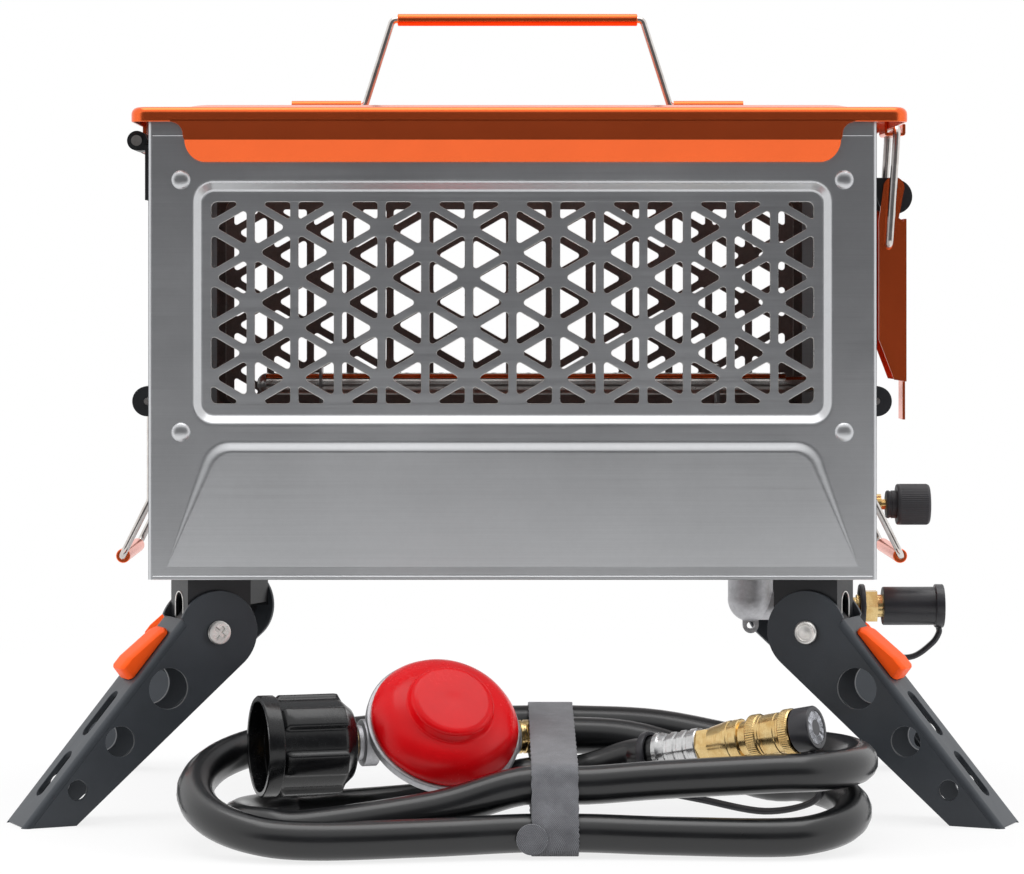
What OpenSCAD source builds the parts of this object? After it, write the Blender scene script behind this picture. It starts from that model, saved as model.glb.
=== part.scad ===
// Portable propane fire pit: a folding sheet-metal fire box on four hinged legs,
// with a latched lid and its gas hose lying in front. Millimetres, +Z up, ground at z = 0.

/* [Body] */
// Width of the body across the front panel
body_w = 400; // [390:1:420]
// Depth of the body from the front panel to the rear panel
body_d = 200; // [196:1:230]
// Height of the body's underside above the ground
body_z = 131; // [128:1:150]
// Height of the sheet-metal body
body_h = 257.5; // [250:0.5:280]
// Thickness of the sheet metal
sheet = 1.5; // [1:0.1:2]
// Width of the end-wall flanges behind the panels
flange_w = 23.5; // [20:0.5:23.5]
// Width of the frame round the open top
rim_w = 14; // [8:1:20]

/* [Panels] */
// Distance of the recessed window from the sides of its panel
window_side = 24; // [23.5:0.5:27]
// Height of the recessed window
window_h = 134; // [126:1:138]
// Height of the window's centre above the body's underside
window_rise = 152; // [150:1:156]
// Corner radius of the window
window_r = 12; // [9:0.5:16]
// Width of the sloping edge round the window
bevel_w = 6; // [4:0.5:7]
// Depth of the window below the panel
bevel_depth = 4; // [2:0.5:6]
// Side of a triangle of the lattice
cell_side = 27.7; // [24:0.1:27.9]
// Width of a lattice bar
bar_w = 4.6; // [3:0.1:6]
// Corner radius of a lattice opening
cell_r = 1.6; // [0.5:0.1:2]
// Distance of the raised foot from the panel's sides at its top
emboss_top_side = 33; // [25:1:50]
// Distance of the raised foot from the panel's sides at its bottom
emboss_bottom_side = 10; // [7:1:20]
// Top of the raised foot above the body's underside
emboss_top = 76; // [60:1:78]
// Height that the raised foot stands proud at its top; it runs out flush at the bottom
emboss_out = 3.5; // [1:0.5:4]
// Width of the raised foot's sloping edge
emboss_slope = 6; // [3:0.5:8]
// Height of the bottom hem
hem_h = 2.5; // [2:0.5:6]
// Diameter of a blind rivet's head
rivet_d = 9.5; // [7:0.5:10]
// Distance of the rivets from the sides of the panel
rivet_side = 18; // [14:0.5:19]
// Height of the lower rivets above the body's underside
rivet_low = 81; // [80:1:84]
// Height of the upper rivets above the body's underside
rivet_high = 219.5; // [215:0.5:222]

/* [Burner and gas] */
// Height of the burner's axis above the body's underside
burner_rise = 105; // [95:1:110]
// Outer radius of the burner tube
burner_r = 6.3; // [5:0.1:8]
// Distance of the burner tube's left end from the left wall
burner_left_gap = 60; // [50:1:80]
// Distance of the burner tube's right end from the right wall
burner_right_gap = 42; // [40:1:50]
// Height of the heat shield above the body's underside
shield_rise = 74; // [60:1:85]
// Height of the gas valve's axis above the body's underside
valve_rise = 35.5; // [30:0.5:45]
// Radius of the control knob
knob_r = 11.8; // [9:0.1:12.5]
// Length of the control knob
knob_len = 19; // [14:0.5:20]
// Distance of the gas inlet's axis below the body's underside
inlet_drop = 23; // [20:0.5:26]
// Radius of the gas inlet's neck
inlet_r = 6.5; // [5:0.1:7]
// Radius of the inlet's dust cap
cap_r = 11; // [9.5:0.1:12]

/* [Lid] */
// Overhang of the lid past the left wall
lid_left = 9.5; // [9:0.1:10.5]
// Overhang of the lid past the right wall
lid_right = 17; // [16.5:0.1:17.2]
// Overhang of the lid past the front and rear panels
lid_front = 6; // [5:0.5:10]
// Thickness of the lid's sheet
lid_t = 1.5; // [1:0.1:2]
// Height of the lid's rim
lid_rim = 8.2; // [7.5:0.1:9]
// Corner radius of the lid seen from above
lid_r = 10; // [8:0.5:16]
// Radius of the lid's top edge
lid_edge_r = 4; // [3:0.5:6]
// Height of the raised middle of the lid
plateau_h = 2.6; // [1:0.1:5]
// Distance of the apron's ends from the body's sides
apron_side = 19.5; // [16:0.5:50]
// Depth of the apron below the rim
apron_drop = 22; // [16:0.5:24]
// Radius of the lid hinge's pin
hinge_pin_r = 2; // [1.5:0.1:2.5]
// Outer radius of the lid hinge's barrel
hinge_barrel_r = 5.5; // [4.5:0.1:6]
// Half length of the lid hinge
hinge_half = 75; // [60:1:85]

/* [Lid handle] */
// Half width of the lid handle at its foot
lid_handle_foot = 94; // [85:1:110]
// Half width of the lid handle at its top
lid_handle_top = 75; // [60:1:80]
// Height of the lid handle's grip above its pivot
lid_handle_h = 50; // [40:1:60]
// Radius of the handle wires
wire_r = 2; // [1.5:0.1:2.2]
// Radius of the lid handle's grip
lid_grip_r = 3.5; // [3:0.1:4]
// Length of the clips that hold the lid handle
clip_len = 40; // [30:1:50]

/* [Latch] */
// Lever pivot outside the right wall
latch_out = 18.8; // [18.5:0.1:19.2]
// Lever pivot below the top of the body
latch_drop = 39.8; // [39:0.1:41]
// Radius of the latch bail's wire
bail_r = 2; // [1.5:0.1:2.2]
// Half width of the latch lever
lever_half = 17; // [16:0.5:18]
// Thickness of the latch lever's sheet
lever_t = 1.5; // [1:0.1:2]
// Length of the latch lever below its pivot
lever_len = 111; // [100:1:115]

/* [Side handles] */
// Height of the side handles' pivots above the body's underside
side_pivot_rise = 97; // [92:1:104]
// Distance of the pivots outside the wall
side_out = 3.2; // [3:0.1:5]
// Half width of a side handle
side_half = 52; // [45:1:60]
// Distance of the grip below the pivot
side_drop = 88; // [86:1:90]
// Distance of the grip outside the pivot
side_kick = 16; // [10:1:18]
// Radius of a side handle's grip
side_grip_r = 4; // [3:0.1:4.5]

/* [Legs] */
// Distance of the leg pivots from the body's sides
leg_side = 31.5; // [28:0.5:40]
// Distance of the leg pivots from the front and rear panels
leg_end = 21; // [20:0.5:24]
// Height of the leg pivots above the ground
leg_z = 101.5; // [99:0.5:103]
// Splay of the legs, seen from above
leg_plan = 25; // [14:1:25]
// Slope of an unfolded leg below the horizontal
leg_angle = 50; // [46:1:55]
// Width of a leg across its two flanges
leg_w = 32; // [29:0.5:33]
// Thickness of a leg's sheet
leg_t = 2.5; // [2:0.1:3]
// Distance of the leg's outer face from its pivot
leg_web = 20.8; // [20:0.1:21.5]
// Radius of the leg's head
leg_head_r = 23; // [21:0.5:24]
// Radius of a leg's pivot bolt
leg_bolt_r = 4; // [3:0.1:5]
// Radius of a leg bolt's head
leg_bolt_head_r = 6.5; // [6:0.1:8]
// Travel of a leg's release button
button_travel = 6; // [4:0.5:7]

/* [Hose set] */
// Outer radius of the gas hose
hose_r = 10; // [8:0.5:10]
// Sides of the hose's cross-section
hose_sides = 8; // [6:1:10]
// Radius of the cylinder nut
nut_r = 27; // [24:0.5:27]
// Length of the cylinder nut
nut_len = 50; // [40:1:52]
// Radius of the regulator's cover
cover_r = 42; // [36:0.5:43]
// Tilt of the regulator's face
cover_tilt = 48; // [45:1:50]
// Turn of the regulator, seen from above
cover_turn = 17; // [15:1:18]
// Radius of the coupler's sleeve
sleeve_r = 12; // [11.5:0.1:13.5]
// Width of the hook-and-loop strap
strap_w = 24; // [16:1:26]

/* [Hidden] */
$fn = 48;

// Colours of the finishes
steel = [0.60, 0.61, 0.62];
orange = [0.90, 0.33, 0.07];
black = [0.10, 0.10, 0.11];
charcoal = [0.17, 0.18, 0.19];
brass = [0.80, 0.63, 0.33];
zinc = [0.55, 0.57, 0.58];
red = [0.82, 0.09, 0.10];
wire_steel = [0.72, 0.70, 0.67];
strap_grey = [0.36, 0.37, 0.39];

// Clearances: a running fit, a hole round a fixed shank, and two bodies that pass each other
run_fit = 0.05;
hole_fit = 0.1;
body_gap = 0.3;

// Body
body_top = body_z + body_h;
wall_x = body_w / 2;
panel_y = body_d / 2;
window_z = body_z + window_rise;
rivet_shank_r = rivet_d / 4;
window_w = body_w - 2 * window_side;
emboss_top_w = body_w - 2 * emboss_top_side;
emboss_bottom_w = body_w - 2 * emboss_bottom_side;
rivet_span = body_w - 2 * rivet_side;
cell_h = cell_side * sqrt(3) / 2;
cell_cols = 2 * floor((window_w - 2 * bevel_w) / (2 * cell_h));
cell_bottom = -2 * cell_side;

// Burner and gas
burner_z = body_z + burner_rise;
shield_z = body_z + shield_rise;
valve_z = body_z + valve_rise;
inlet_z = body_z - inlet_drop;
manifold_x = wall_x - 62;
valve_left = wall_x - 32;
feed_x = wall_x - 20;
burner_left = burner_left_gap - wall_x;
burner_right = wall_x - burner_right_gap;
stem_r = 5;
shaft_r = 3;
hex_len = 7;
knob_x = wall_x + 22;

// Lid
lid_gap = 0.4;
lid_under = body_top + lid_gap;
lid_top = lid_under + lid_t;
rim_bottom = lid_top - lid_rim;
lid_w = body_w + lid_left + lid_right;
lid_d = body_d + 2 * lid_front;
lid_x = (lid_right - lid_left) / 2;
apron_half = wall_x - apron_side;
plateau_inset = 20;
plateau_slope = 14;
plateau_z = lid_top + plateau_h;
hinge_x = -(wall_x + 8.5);
hinge_z = body_top - 15.5;
knuckle = 2 * hinge_half / 5;

// Lid handle
handle_z = plateau_z + wire_r + 0.6;

// Latch: lever pivot, bail foot and bail bar, each as [x, z]
latch_p = [wall_x + latch_out, body_top - latch_drop];
bail_foot = latch_p + [-3.2, -33.6];
bail_bar = latch_p + [1.2, 33.7];
bail_half = lever_half + 5;
lever_face = latch_p[0] + 7.2;
lever_low = latch_p[1] - lever_len;

// Side handles
side_x = wall_x + side_out;
side_z = body_z + side_pivot_rise;
saddle_r = 8.4;
saddle_len = 11;

// Legs
leg_x = wall_x - leg_side;
leg_y = panel_y - leg_end;
leg_in = leg_w / 2 - leg_t;
bracket_half = leg_in - body_gap;
bracket_t = 2;
bracket_h = body_z - leg_z;
plate_u = 17;
tongue_half = 4.5;
foot_low = -2.5;
arm_low_start = leg_head_r * [cos(81), -sin(81)];
function foot_a(b) = (leg_z + b * cos(leg_angle)) / sin(leg_angle);
function leg_turn(side, end) = side > 0 ? end * leg_plan : 180 - end * leg_plan;

// Regulator: its port axis runs along port_dir, its face along face_dir
set_y = 100 - panel_y;
port_centre = [-40, set_y - 150, 49.4];
port_dir = [cos(cover_turn), sin(cover_turn), 0];
face_dir = [sin(cover_tilt) * sin(cover_turn), -sin(cover_tilt) * cos(cover_turn), cos(cover_tilt)];
outlet_len = 52;
outlet_fit = 8;
port_r = 9.5;
nut_from = 49;
flange_rise = 14;

// Coupler: its axis leaves the hose's end
coupler_rise = 12;
coupler_turn = 30.7;
coupler_at = [77.8, set_y - 162, 43.6];
coupler_side = [sin(coupler_turn), cos(coupler_turn), 0];
coupler_dir = [cos(coupler_rise) * cos(coupler_turn), -cos(coupler_rise) * sin(coupler_turn), sin(coupler_rise)];
ferrule_len = 26;
ferrule_r = 11;
core_r = 9.5;
shoulder_r = 11;
shoulder_end = 51.5;
sleeve_from = 57;
sleeve_to = 82;
plug_from = 82.8;
plug_len = 11;
spigot_r = 6;
spigot_len = 10;

// Hose route: arcs at the ends of the loops, with chosen points between them
arc_steps = 6;
hose_start = port_centre + outlet_len * port_dir;
hose_run = 20;
strap_x = 20.5;
function ease(t) = (1 - cos(180 * t)) / 2;
function end_arc(x, y, r, side, z0, z1) = [
  for (i = [0:arc_steps])
    let (t = i / arc_steps, turn = side * (90 - 180 * t))
    [x + side * r * cos(turn), y + r * sin(turn), z0 + (z1 - z0) * ease(t)]
];
hose_route = concat(
  [[70, -131, 46]],
  end_arc(131, -194, 46, 1, 28, 10.6),
  [[75, -236, 11], [strap_x + 17, -234, 12], [strap_x - 17, -234, 12], [-45, -243, 11]],
  end_arc(-104, -188.5, 63, -1, 10.6, 47),
  [[-40, -112, 52], [strap_x - 15, -107, 53], [strap_x + 15, -107, 53], [80, -110, 51]],
  end_arc(132, -177.5, 50, 1, 43, 41.5),
  [[75, -224, 38], [strap_x + 17, -222, 35], [strap_x - 17, -222, 34.5], [-40, -220, 22]],
  end_arc(-105, -178, 40, -1, 12, 10.6),
  [[-35, -148, 18], [strap_x - 15, -151, 29.8], [strap_x + 15, -148, 31.2]]
);
hose_points = concat(
  [hose_start, hose_start + hose_run / 2 * port_dir, hose_start + hose_run * port_dir],
  [for (p = hose_route) p + [0, set_y, 0]],
  [coupler_at - hose_run * coupler_dir, coupler_at - hose_run / 2 * coupler_dir, coupler_at]
);
spline_steps = 2;
function knot(p, i) = p[max(0, min(len(p) - 1, i))];
function spline(p, i, t) =
  let (a = knot(p, i - 1), b = knot(p, i), c = knot(p, i + 1), d = knot(p, i + 2))
  0.5 * (2 * b + (c - a) * t + (2 * a - 5 * b + 4 * c - d) * t * t + (3 * b - a - 3 * c + d) * t * t * t);
function smooth_line(p, steps) = concat(
  [for (i = [0:len(p) - 2]) for (k = [0:steps - 1]) spline(p, i, k / steps)],
  [p[len(p) - 1]]
);
function reach(p) = [
  for (i = 0, s = 0; i < len(p); i = i + 1, s = s + (i < len(p) ? norm(p[i] - p[i - 1]) : 0)) s
];
hose_line = smooth_line(hose_points, spline_steps);
hose_reach = reach(hose_line);
hose_last = len(hose_line) - 1;
hose_length = hose_reach[hose_last];
hose_gap = min([
  for (i = [0:hose_last]) for (j = [i + 1:1:hose_last])
    if (hose_reach[j] - hose_reach[i] > 6 * hose_r) norm(hose_line[i] - hose_line[j])
]) - 2 * hose_r;
echo(hose_length = hose_length, least_gap_of_hose_to_itself = hose_gap);

// General helpers
function unit(v) = v / norm(v);
function arc(c, r, from, to, n = 5) = [
  for (i = [0:n]) let (a = from + (to - from) * i / n) [c[0] + r * cos(a), c[1] + r * sin(a)]
];
function round_corner(p, q, s, r, n = 2) =
  let (
    d0 = unit(p - q), d1 = unit(s - q), half = acos(d0 * d1) / 2,
    c = q + unit(d0 + d1) * r / sin(half), t0 = q + d0 * r / tan(half), t1 = q + d1 * r / tan(half)
  )
  [for (i = [0:n]) let (m = c + r * unit((t0 - c) * (n - i) + (t1 - c) * i)) m];
function rounded(pts, r) = [
  for (i = [0:len(pts) - 1])
    each round_corner(pts[(i + len(pts) - 1) % len(pts)], pts[i], pts[(i + 1) % len(pts)], r)
];

// Children are drawn with their z along zdir and their x along xdir
module frame_at(origin, xdir, zdir) {
  x = unit(xdir);
  z = unit(zdir);
  y = cross(z, x);
  multmatrix([
    [x[0], y[0], z[0], origin[0]],
    [x[1], y[1], z[1], origin[1]],
    [x[2], y[2], z[2], origin[2]],
    [0, 0, 0, 1]
  ]) children();
}

// Children are drawn with their z along dir
module along(origin, dir) {
  side = abs(unit(dir)[2]) < 0.9 ? [0, 0, 1] : [1, 0, 0];
  frame_at(origin, cross(side, dir), dir) children();
}

module rod(a, b, r) along(a, b - a) cylinder(r = r, h = norm(b - a));

// Points of a bend at b: where it starts, its middle and where it ends
function bend_points(a, b, c, bend) =
  let (
    back = unit(a - b), on = unit(c - b), half = acos(back * on) / 2, cut = bend / tan(half),
    centre = b + unit(back + on) * bend / sin(half)
  )
  [b + cut * back, centre + bend * unit(b - centre), b + cut * on];

// Round wire along points, bent at each corner
module wire(points, r, bend) {
  last = len(points) - 1;
  bead = 1.03;
  line = [
    points[0],
    for (i = [1:1:last - 1]) each bend_points(points[i - 1], points[i], points[i + 1], bend),
    points[last]
  ];
  for (i = [0:len(line) - 2]) rod(line[i], line[i + 1], r);
  for (i = [1:len(line) - 2]) translate(line[i]) sphere(bead * r);
}

module rounded_rect(w, h, r) {
  square([w - 2 * r, h], center = true);
  square([w, h - 2 * r], center = true);
  for (x = [-1, 1]) for (y = [-1, 1]) translate([x * (w / 2 - r), y * (h / 2 - r)]) circle(r);
}

// A profile swept round a rounded rectangle; its x is measured outwards from the corner centres
module sweep_rect(w, d, r) {
  for (turn = [0, 180]) rotate(turn) {
    translate([-(w / 2 - r), d / 2 - r, 0]) rotate([90, 0, 90]) linear_extrude(w - 2 * r) children();
    translate([w / 2 - r, d / 2 - r, 0]) rotate([90, 0, 0]) linear_extrude(d - 2 * r) children();
    translate([w / 2 - r, d / 2 - r, 0]) rotate_extrude(angle = 90) children();
    translate([-(w / 2 - r), d / 2 - r, 0]) rotate(90) rotate_extrude(angle = 90) children();
  }
}

// Lattice openings, centred on the window
module lattice_cells() {
  inset = bar_w / 2;
  third = cell_h / 3;
  shrink = (third - inset) / third;
  slant = inset / cos(30);
  for (c = [0:cell_cols - 1]) {
    left = (c - cell_cols / 2) * cell_h;
    left_odd = (c + cell_cols / 2) % 2;
    for (edge = [0, 1]) {
      odd = (left_odd + edge) % 2;
      way = edge == 0 ? 1 : -1;
      x = left + edge * cell_h;
      for (j = [0:3 - odd]) {
        z = cell_bottom + (j + odd / 2) * cell_side;
        mid = [x + way * third, z + cell_side / 2];
        corners = [[x, z], [x + way * cell_h, z + cell_side / 2], [x, z + cell_side]];
        polygon(rounded([for (p = corners) mid + shrink * (p - mid)], cell_r));
      }
      if (odd == 1) for (end = [-1, 1]) {
        rise = cell_side / 2;
        near = [x + way * inset, end * -cell_bottom];
        far = [x + way * (rise - slant) / tan(30), end * -cell_bottom];
        low = [x + way * inset, end * (-cell_bottom - rise + inset * tan(30) + slant)];
        polygon(rounded([near, far, low], cell_r));
      }
    }
  }
}

// A pressed panel standing in the XY plane with its face towards +Z
module panel() {
  inner_w = window_w - 2 * bevel_w;
  inner_h = window_h - 2 * bevel_w;
  difference() {
    linear_extrude(sheet) difference() {
      translate([-wall_x, body_z]) square([body_w, body_h]);
      translate([0, window_z]) rounded_rect(window_w, window_h, window_r);
    }
    for (x = [-1, 1]) for (rise = [rivet_low, rivet_high])
      translate([x * rivet_span / 2, body_z + rise, -1])
        cylinder(r = rivet_shank_r + hole_fit, h = sheet + 2);
  }
  translate([0, window_z, 0]) {
    sweep_rect(window_w, window_h, window_r) polygon([
      [window_r, sheet], [window_r, 0], [window_r - bevel_w, -bevel_depth], [window_r - bevel_w, sheet - bevel_depth]
    ]);
    translate([0, 0, -bevel_depth]) linear_extrude(sheet) difference() {
      rounded_rect(inner_w, inner_h, window_r - bevel_w);
      lattice_cells();
    }
  }
  translate([-wall_x, body_z, sheet]) cube([body_w, hem_h, 1]);
  panel_emboss();
}

module panel_emboss() {
  low = body_z + 7;
  high = body_z + emboss_top;
  s = emboss_slope;
  emboss_foot = 0.4;
  base = [
    [-emboss_bottom_w / 2, low], [emboss_bottom_w / 2, low], [emboss_top_w / 2, high], [-emboss_top_w / 2, high]
  ];
  face = [
    [-emboss_bottom_w / 2 + emboss_foot, low], [emboss_bottom_w / 2 - emboss_foot, low],
    [emboss_top_w / 2 - s, high - s], [-emboss_top_w / 2 + s, high - s]
  ];
  polyhedron(
    [
      for (p = base) [p[0], p[1], sheet - 0.2],
      for (p = face) [p[0], p[1], p[1] > low ? sheet + emboss_out : sheet + emboss_foot]
    ],
    [[0, 1, 2, 3], [7, 6, 5, 4], [0, 4, 5, 1], [1, 5, 6, 2], [2, 6, 7, 3], [3, 7, 4, 0]]
  );
}

module front_panel() color(steel) translate([0, -panel_y + sheet, 0]) rotate([90, 0, 0]) panel();
module rear_panel() color(steel) rotate(180) translate([0, -panel_y + sheet, 0]) rotate([90, 0, 0]) panel();

// An end wall with its two flanges, drawn at the right end
module end_wall() {
  flange_y = panel_y - sheet;
  difference() {
    union() {
      translate([wall_x - sheet, -flange_y, body_z]) cube([sheet, 2 * flange_y, body_h]);
      for (y = [-flange_y, flange_y - sheet])
        translate([wall_x - flange_w, y, body_z]) cube([flange_w - sheet, sheet, body_h]);
    }
    for (rise = [rivet_low, rivet_high])
      translate([rivet_span / 2, 0, body_z + rise]) rotate([90, 0, 0])
        cylinder(r = rivet_shank_r + hole_fit, h = body_d, center = true);
  }
}

module left_wall() color(steel) rotate(180) end_wall();
module right_wall() color(steel) difference() {
  end_wall();
  translate([wall_x - sheet - 1, 0, valve_z]) rotate([0, 90, 0]) cylinder(r = stem_r + hole_fit, h = sheet + 2);
}

module floor_pan() color(steel) {
  x = wall_x - sheet;
  y = panel_y - 2 * sheet;
  turn_up = 10;
  flange_x = wall_x - flange_w - 1;
  difference() {
    translate([-x, -y, body_z]) cube([2 * x, 2 * y, sheet]);
    translate([manifold_x, 0, body_z - 1]) cylinder(r = 4 + hole_fit, h = sheet + 2);
    for (x = [-36, 0, 36]) translate([x, -40, body_z - 1]) cylinder(r = 1.5 + hole_fit, h = sheet + 2);
  }
  for (end = [-1, 1])
    translate([-flange_x, end > 0 ? y - sheet : -y, body_z + sheet]) cube([2 * flange_x, sheet, turn_up]);
}

module floor_screws() color(zinc) for (x = [-36, 0, 36]) translate([x, -40, body_z]) {
  translate([0, 0, -3]) cylinder(r1 = 2.6, r2 = 3.6, h = 3);
  cylinder(r = 1.5, h = sheet + 4);
}

module rim_frame() color(steel) {
  x = wall_x - sheet;
  y = panel_y - 2 * sheet;
  translate([0, 0, body_top - 2 * sheet]) linear_extrude(sheet) difference() {
    square([2 * x, 2 * y], center = true);
    square([2 * (x - rim_w), 2 * (y - rim_w)], center = true);
  }
}

module panel_rivets() color(wire_steel) {
  back = 2 * sheet + 1;
  for (turn = [0, 180]) rotate(turn)
    for (x = [-1, 1]) for (rise = [rivet_low, rivet_high])
      translate([x * rivet_span / 2, -panel_y, body_z + rise]) rotate([90, 0, 0]) difference() {
        union() {
          rotate_extrude() polygon(concat([[0, 0]], [[rivet_d / 2, 0]], arc([rivet_d / 2 - 2, 0], 2, 0, 90), [[0, 2]]));
          translate([0, 0, -back]) cylinder(r = rivet_shank_r, h = back);
        }
        translate([0, 0, 1]) cylinder(r = rivet_d / 7, h = 3);
      }
}

module heat_shield() color(steel) {
  right = feed_x - 15;
  left = -(wall_x - sheet);
  depth = panel_y - 12;
  leg_half = 10;
  floor_top = body_z + sheet;
  translate([left, -depth, shield_z - sheet]) cube([right - left, 2 * depth, sheet]);
  for (y = [-depth, depth - sheet]) translate([left, y, shield_z]) cube([right - left, sheet, 6]);
  for (x = [50 - wall_x, wall_x - 54]) for (y = [34 - panel_y, panel_y - 34])
    translate([x, y - leg_half, floor_top]) cube([sheet, 2 * leg_half, shield_z - sheet - floor_top]);
}

module burner_tube() color(zinc) difference() {
  union() {
    translate([burner_left, 0, burner_z]) rotate([0, 90, 0]) cylinder(r = burner_r, h = burner_right - burner_left);
    translate([burner_left, 0, burner_z]) sphere(burner_r);
  }
  translate([burner_left, 0, burner_z]) rotate([0, 90, 0])
    cylinder(r = burner_r - 1.2, h = burner_right - burner_left - 4);
}

module burner_brackets() color(steel) {
  half = burner_r + 5;
  for (x = [burner_left + 30, burner_right - 40]) {
    difference() {
      translate([x, -half, shield_z]) cube([sheet, 2 * half, burner_z - shield_z + half]);
      translate([x - 1, 0, burner_z]) rotate([0, 90, 0]) cylinder(r = burner_r + hole_fit, h = sheet + 2);
    }
    translate([x + sheet, -half, shield_z]) cube([12, 2 * half, sheet]);
  }
}

// Two pipes at right angles with a ball elbow where they meet
module elbow_pipe(a, corner, b, r) {
  rod(a, corner, r);
  rod(corner, b, r);
  translate(corner) sphere(r + 1.2);
}

module feed_pipe() color(zinc)
  elbow_pipe([feed_x, 0, valve_z + 18], [feed_x, 0, burner_z], [burner_right, 0, burner_z], 4.5);

module supply_pipe() color(brass)
  elbow_pipe([manifold_x, 0, body_z], [manifold_x, 0, valve_z], [valve_left, 0, valve_z], 4);

module gas_valve() color(brass) {
  translate([valve_left, 0, valve_z]) rotate([0, 90, 0]) cylinder(r = 9, h = wall_x - sheet - valve_left);
  translate([feed_x, 0, valve_z]) cylinder(r = 7, h = 18);
}

module valve_stem() color(brass) translate([wall_x - sheet, 0, valve_z]) rotate([0, 90, 0]) {
  cylinder(r = stem_r, h = sheet + hex_len);
  translate([0, 0, sheet]) rotate(30) cylinder(r = 9, h = hex_len, $fn = 6);
  translate([0, 0, sheet + hex_len]) cylinder(r = 6, h = 6);
  translate([0, 0, sheet + hex_len]) cylinder(r = shaft_r, h = knob_x - wall_x - hex_len + knob_len - 5);
}

module valve_knob() color(black) translate([knob_x, 0, valve_z]) rotate([0, 90, 0]) difference() {
  union() {
    cylinder(r = knob_r, h = knob_len - 2);
    translate([0, 0, knob_len - 2]) cylinder(r1 = knob_r, r2 = knob_r - 1.5, h = 2);
    translate([0, 0, -6]) cylinder(r = 8, h = 6);
  }
  translate([0, 0, -7]) cylinder(r = shaft_r + run_fit, h = knob_len + 3);
  for (a = [0:30:330]) rotate(a) translate([knob_r + 0.6, 0, 2]) cylinder(r = 1.6, h = knob_len, $fn = 16);
}

module gas_manifold() color(zinc) difference() {
  union() {
    translate([manifold_x, 0, inlet_z + 4]) sphere(13);
    translate([manifold_x, 0, inlet_z + 4]) cylinder(r = 12.9, h = inlet_drop - 4);
    translate([manifold_x, 0, inlet_z]) rotate([0, 90, 0]) cylinder(r = 8, h = 22);
    translate([manifold_x, 3, inlet_z - 11]) rotate([90, 0, 0]) cylinder(r = 4.5, h = 6);
    translate([manifold_x - 4.5, -3, inlet_z - 11]) cube([9, 6, 8]);
  }
  translate([manifold_x, 4, inlet_z - 11]) rotate([90, 0, 0]) cylinder(r = 2.2, h = 8);
}

module gas_pipe() color(brass) rod([manifold_x + 22, 0, inlet_z], [wall_x - 1, 0, inlet_z], 5);

module gas_inlet() color(brass) translate([wall_x - 1, 0, inlet_z]) rotate([0, 90, 0]) difference() {
  hex_from = 5;
  hex_end = 11.6;
  union() {
    translate([0, 0, hex_from]) rotate(30) cylinder(r = 10, h = hex_end - hex_from, $fn = 6);
    cylinder(r = inlet_r, h = 37);
  }
  translate([0, 0, hex_end]) cylinder(r = inlet_r - 2.5, h = 30);
}

cap_from = wall_x + 14;
cap_len = 35;
module inlet_cap() color(black) translate([cap_from, 0, inlet_z]) rotate([0, 90, 0]) difference() {
  union() {
    cylinder(r = cap_r, h = cap_len);
    translate([0, 0, cap_len - 5]) cylinder(r = cap_r + 1.5, h = 5);
  }
  translate([0, 0, -1]) cylinder(r = inlet_r + body_gap, h = 27);
}

module cap_tether() color(black) {
  ring_x = wall_x + 0.6;
  ring_in = 10.4;
  ring_t = 2.2;
  end_x = cap_from + cap_len - 2.5;
  low = inlet_z - cap_r - 1.6;
  translate([ring_x, 0, inlet_z]) rotate([0, 90, 0]) difference() {
    cylinder(r = ring_in + ring_t, h = 3);
    translate([0, 0, -1]) cylinder(r = ring_in, h = 5);
  }
  tube(smooth_line([
    [ring_x + 1.5, 0, inlet_z - ring_in - 0.8], [ring_x + 1.5, 0, inlet_z - ring_in - 4], [ring_x + 7, 0, low - 10],
    [ring_x + 18, 0, low - 16], [ring_x + 31, 0, low - 16.5], [end_x - 4, 0, low - 9], [end_x, 0, low - 3], [end_x, 0, low]
  ], 3), 1.8, 8, [0, 1, 0]);
}

module hinge_leaf() color(black) {
  leaf_t = 4;
  gap = body_gap / 2;
  translate([-wall_x - leaf_t, -hinge_half, hinge_z - 33]) cube([leaf_t, 2 * hinge_half, 26]);
  for (k = [0, 2, 4]) {
    from = -hinge_half + k * knuckle + (k > 0 ? gap : 0);
    long = knuckle - (k == 2 ? 2 * gap : gap);
    difference() {
      union() {
        translate([hinge_x, from, hinge_z]) rotate([-90, 0, 0]) cylinder(r = hinge_barrel_r, h = long);
        translate([hinge_x, from, hinge_z - hinge_barrel_r]) cube([-wall_x - hinge_x, long, hinge_barrel_r - 2.4]);
        translate([-wall_x - leaf_t, from, hinge_z - 8]) cube([leaf_t, long, 8 - 2.4]);
      }
      translate([hinge_x, from - 1, hinge_z]) rotate([-90, 0, 0]) cylinder(r = hinge_pin_r + run_fit, h = long + 2);
    }
  }
}

module hinge_pin() color(wire_steel) translate([hinge_x, -hinge_half - 1, hinge_z]) rotate([-90, 0, 0]) {
  cylinder(r = hinge_pin_r, h = 2 * hinge_half + 2);
  for (z = [-1.5, 2 * hinge_half + 1.1]) translate([0, 0, z]) cylinder(r = hinge_pin_r + 1, h = 2.4 - body_gap);
}

// The lid: rim, plate, raised middle, aprons, hinge hooks and latch hook
module lid() color(orange) {
  translate([lid_x, 0, 0]) lid_tray();
  for (turn = [0, 180]) rotate(turn) lid_apron();
  lid_hooks();
  lid_catch();
}

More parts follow.
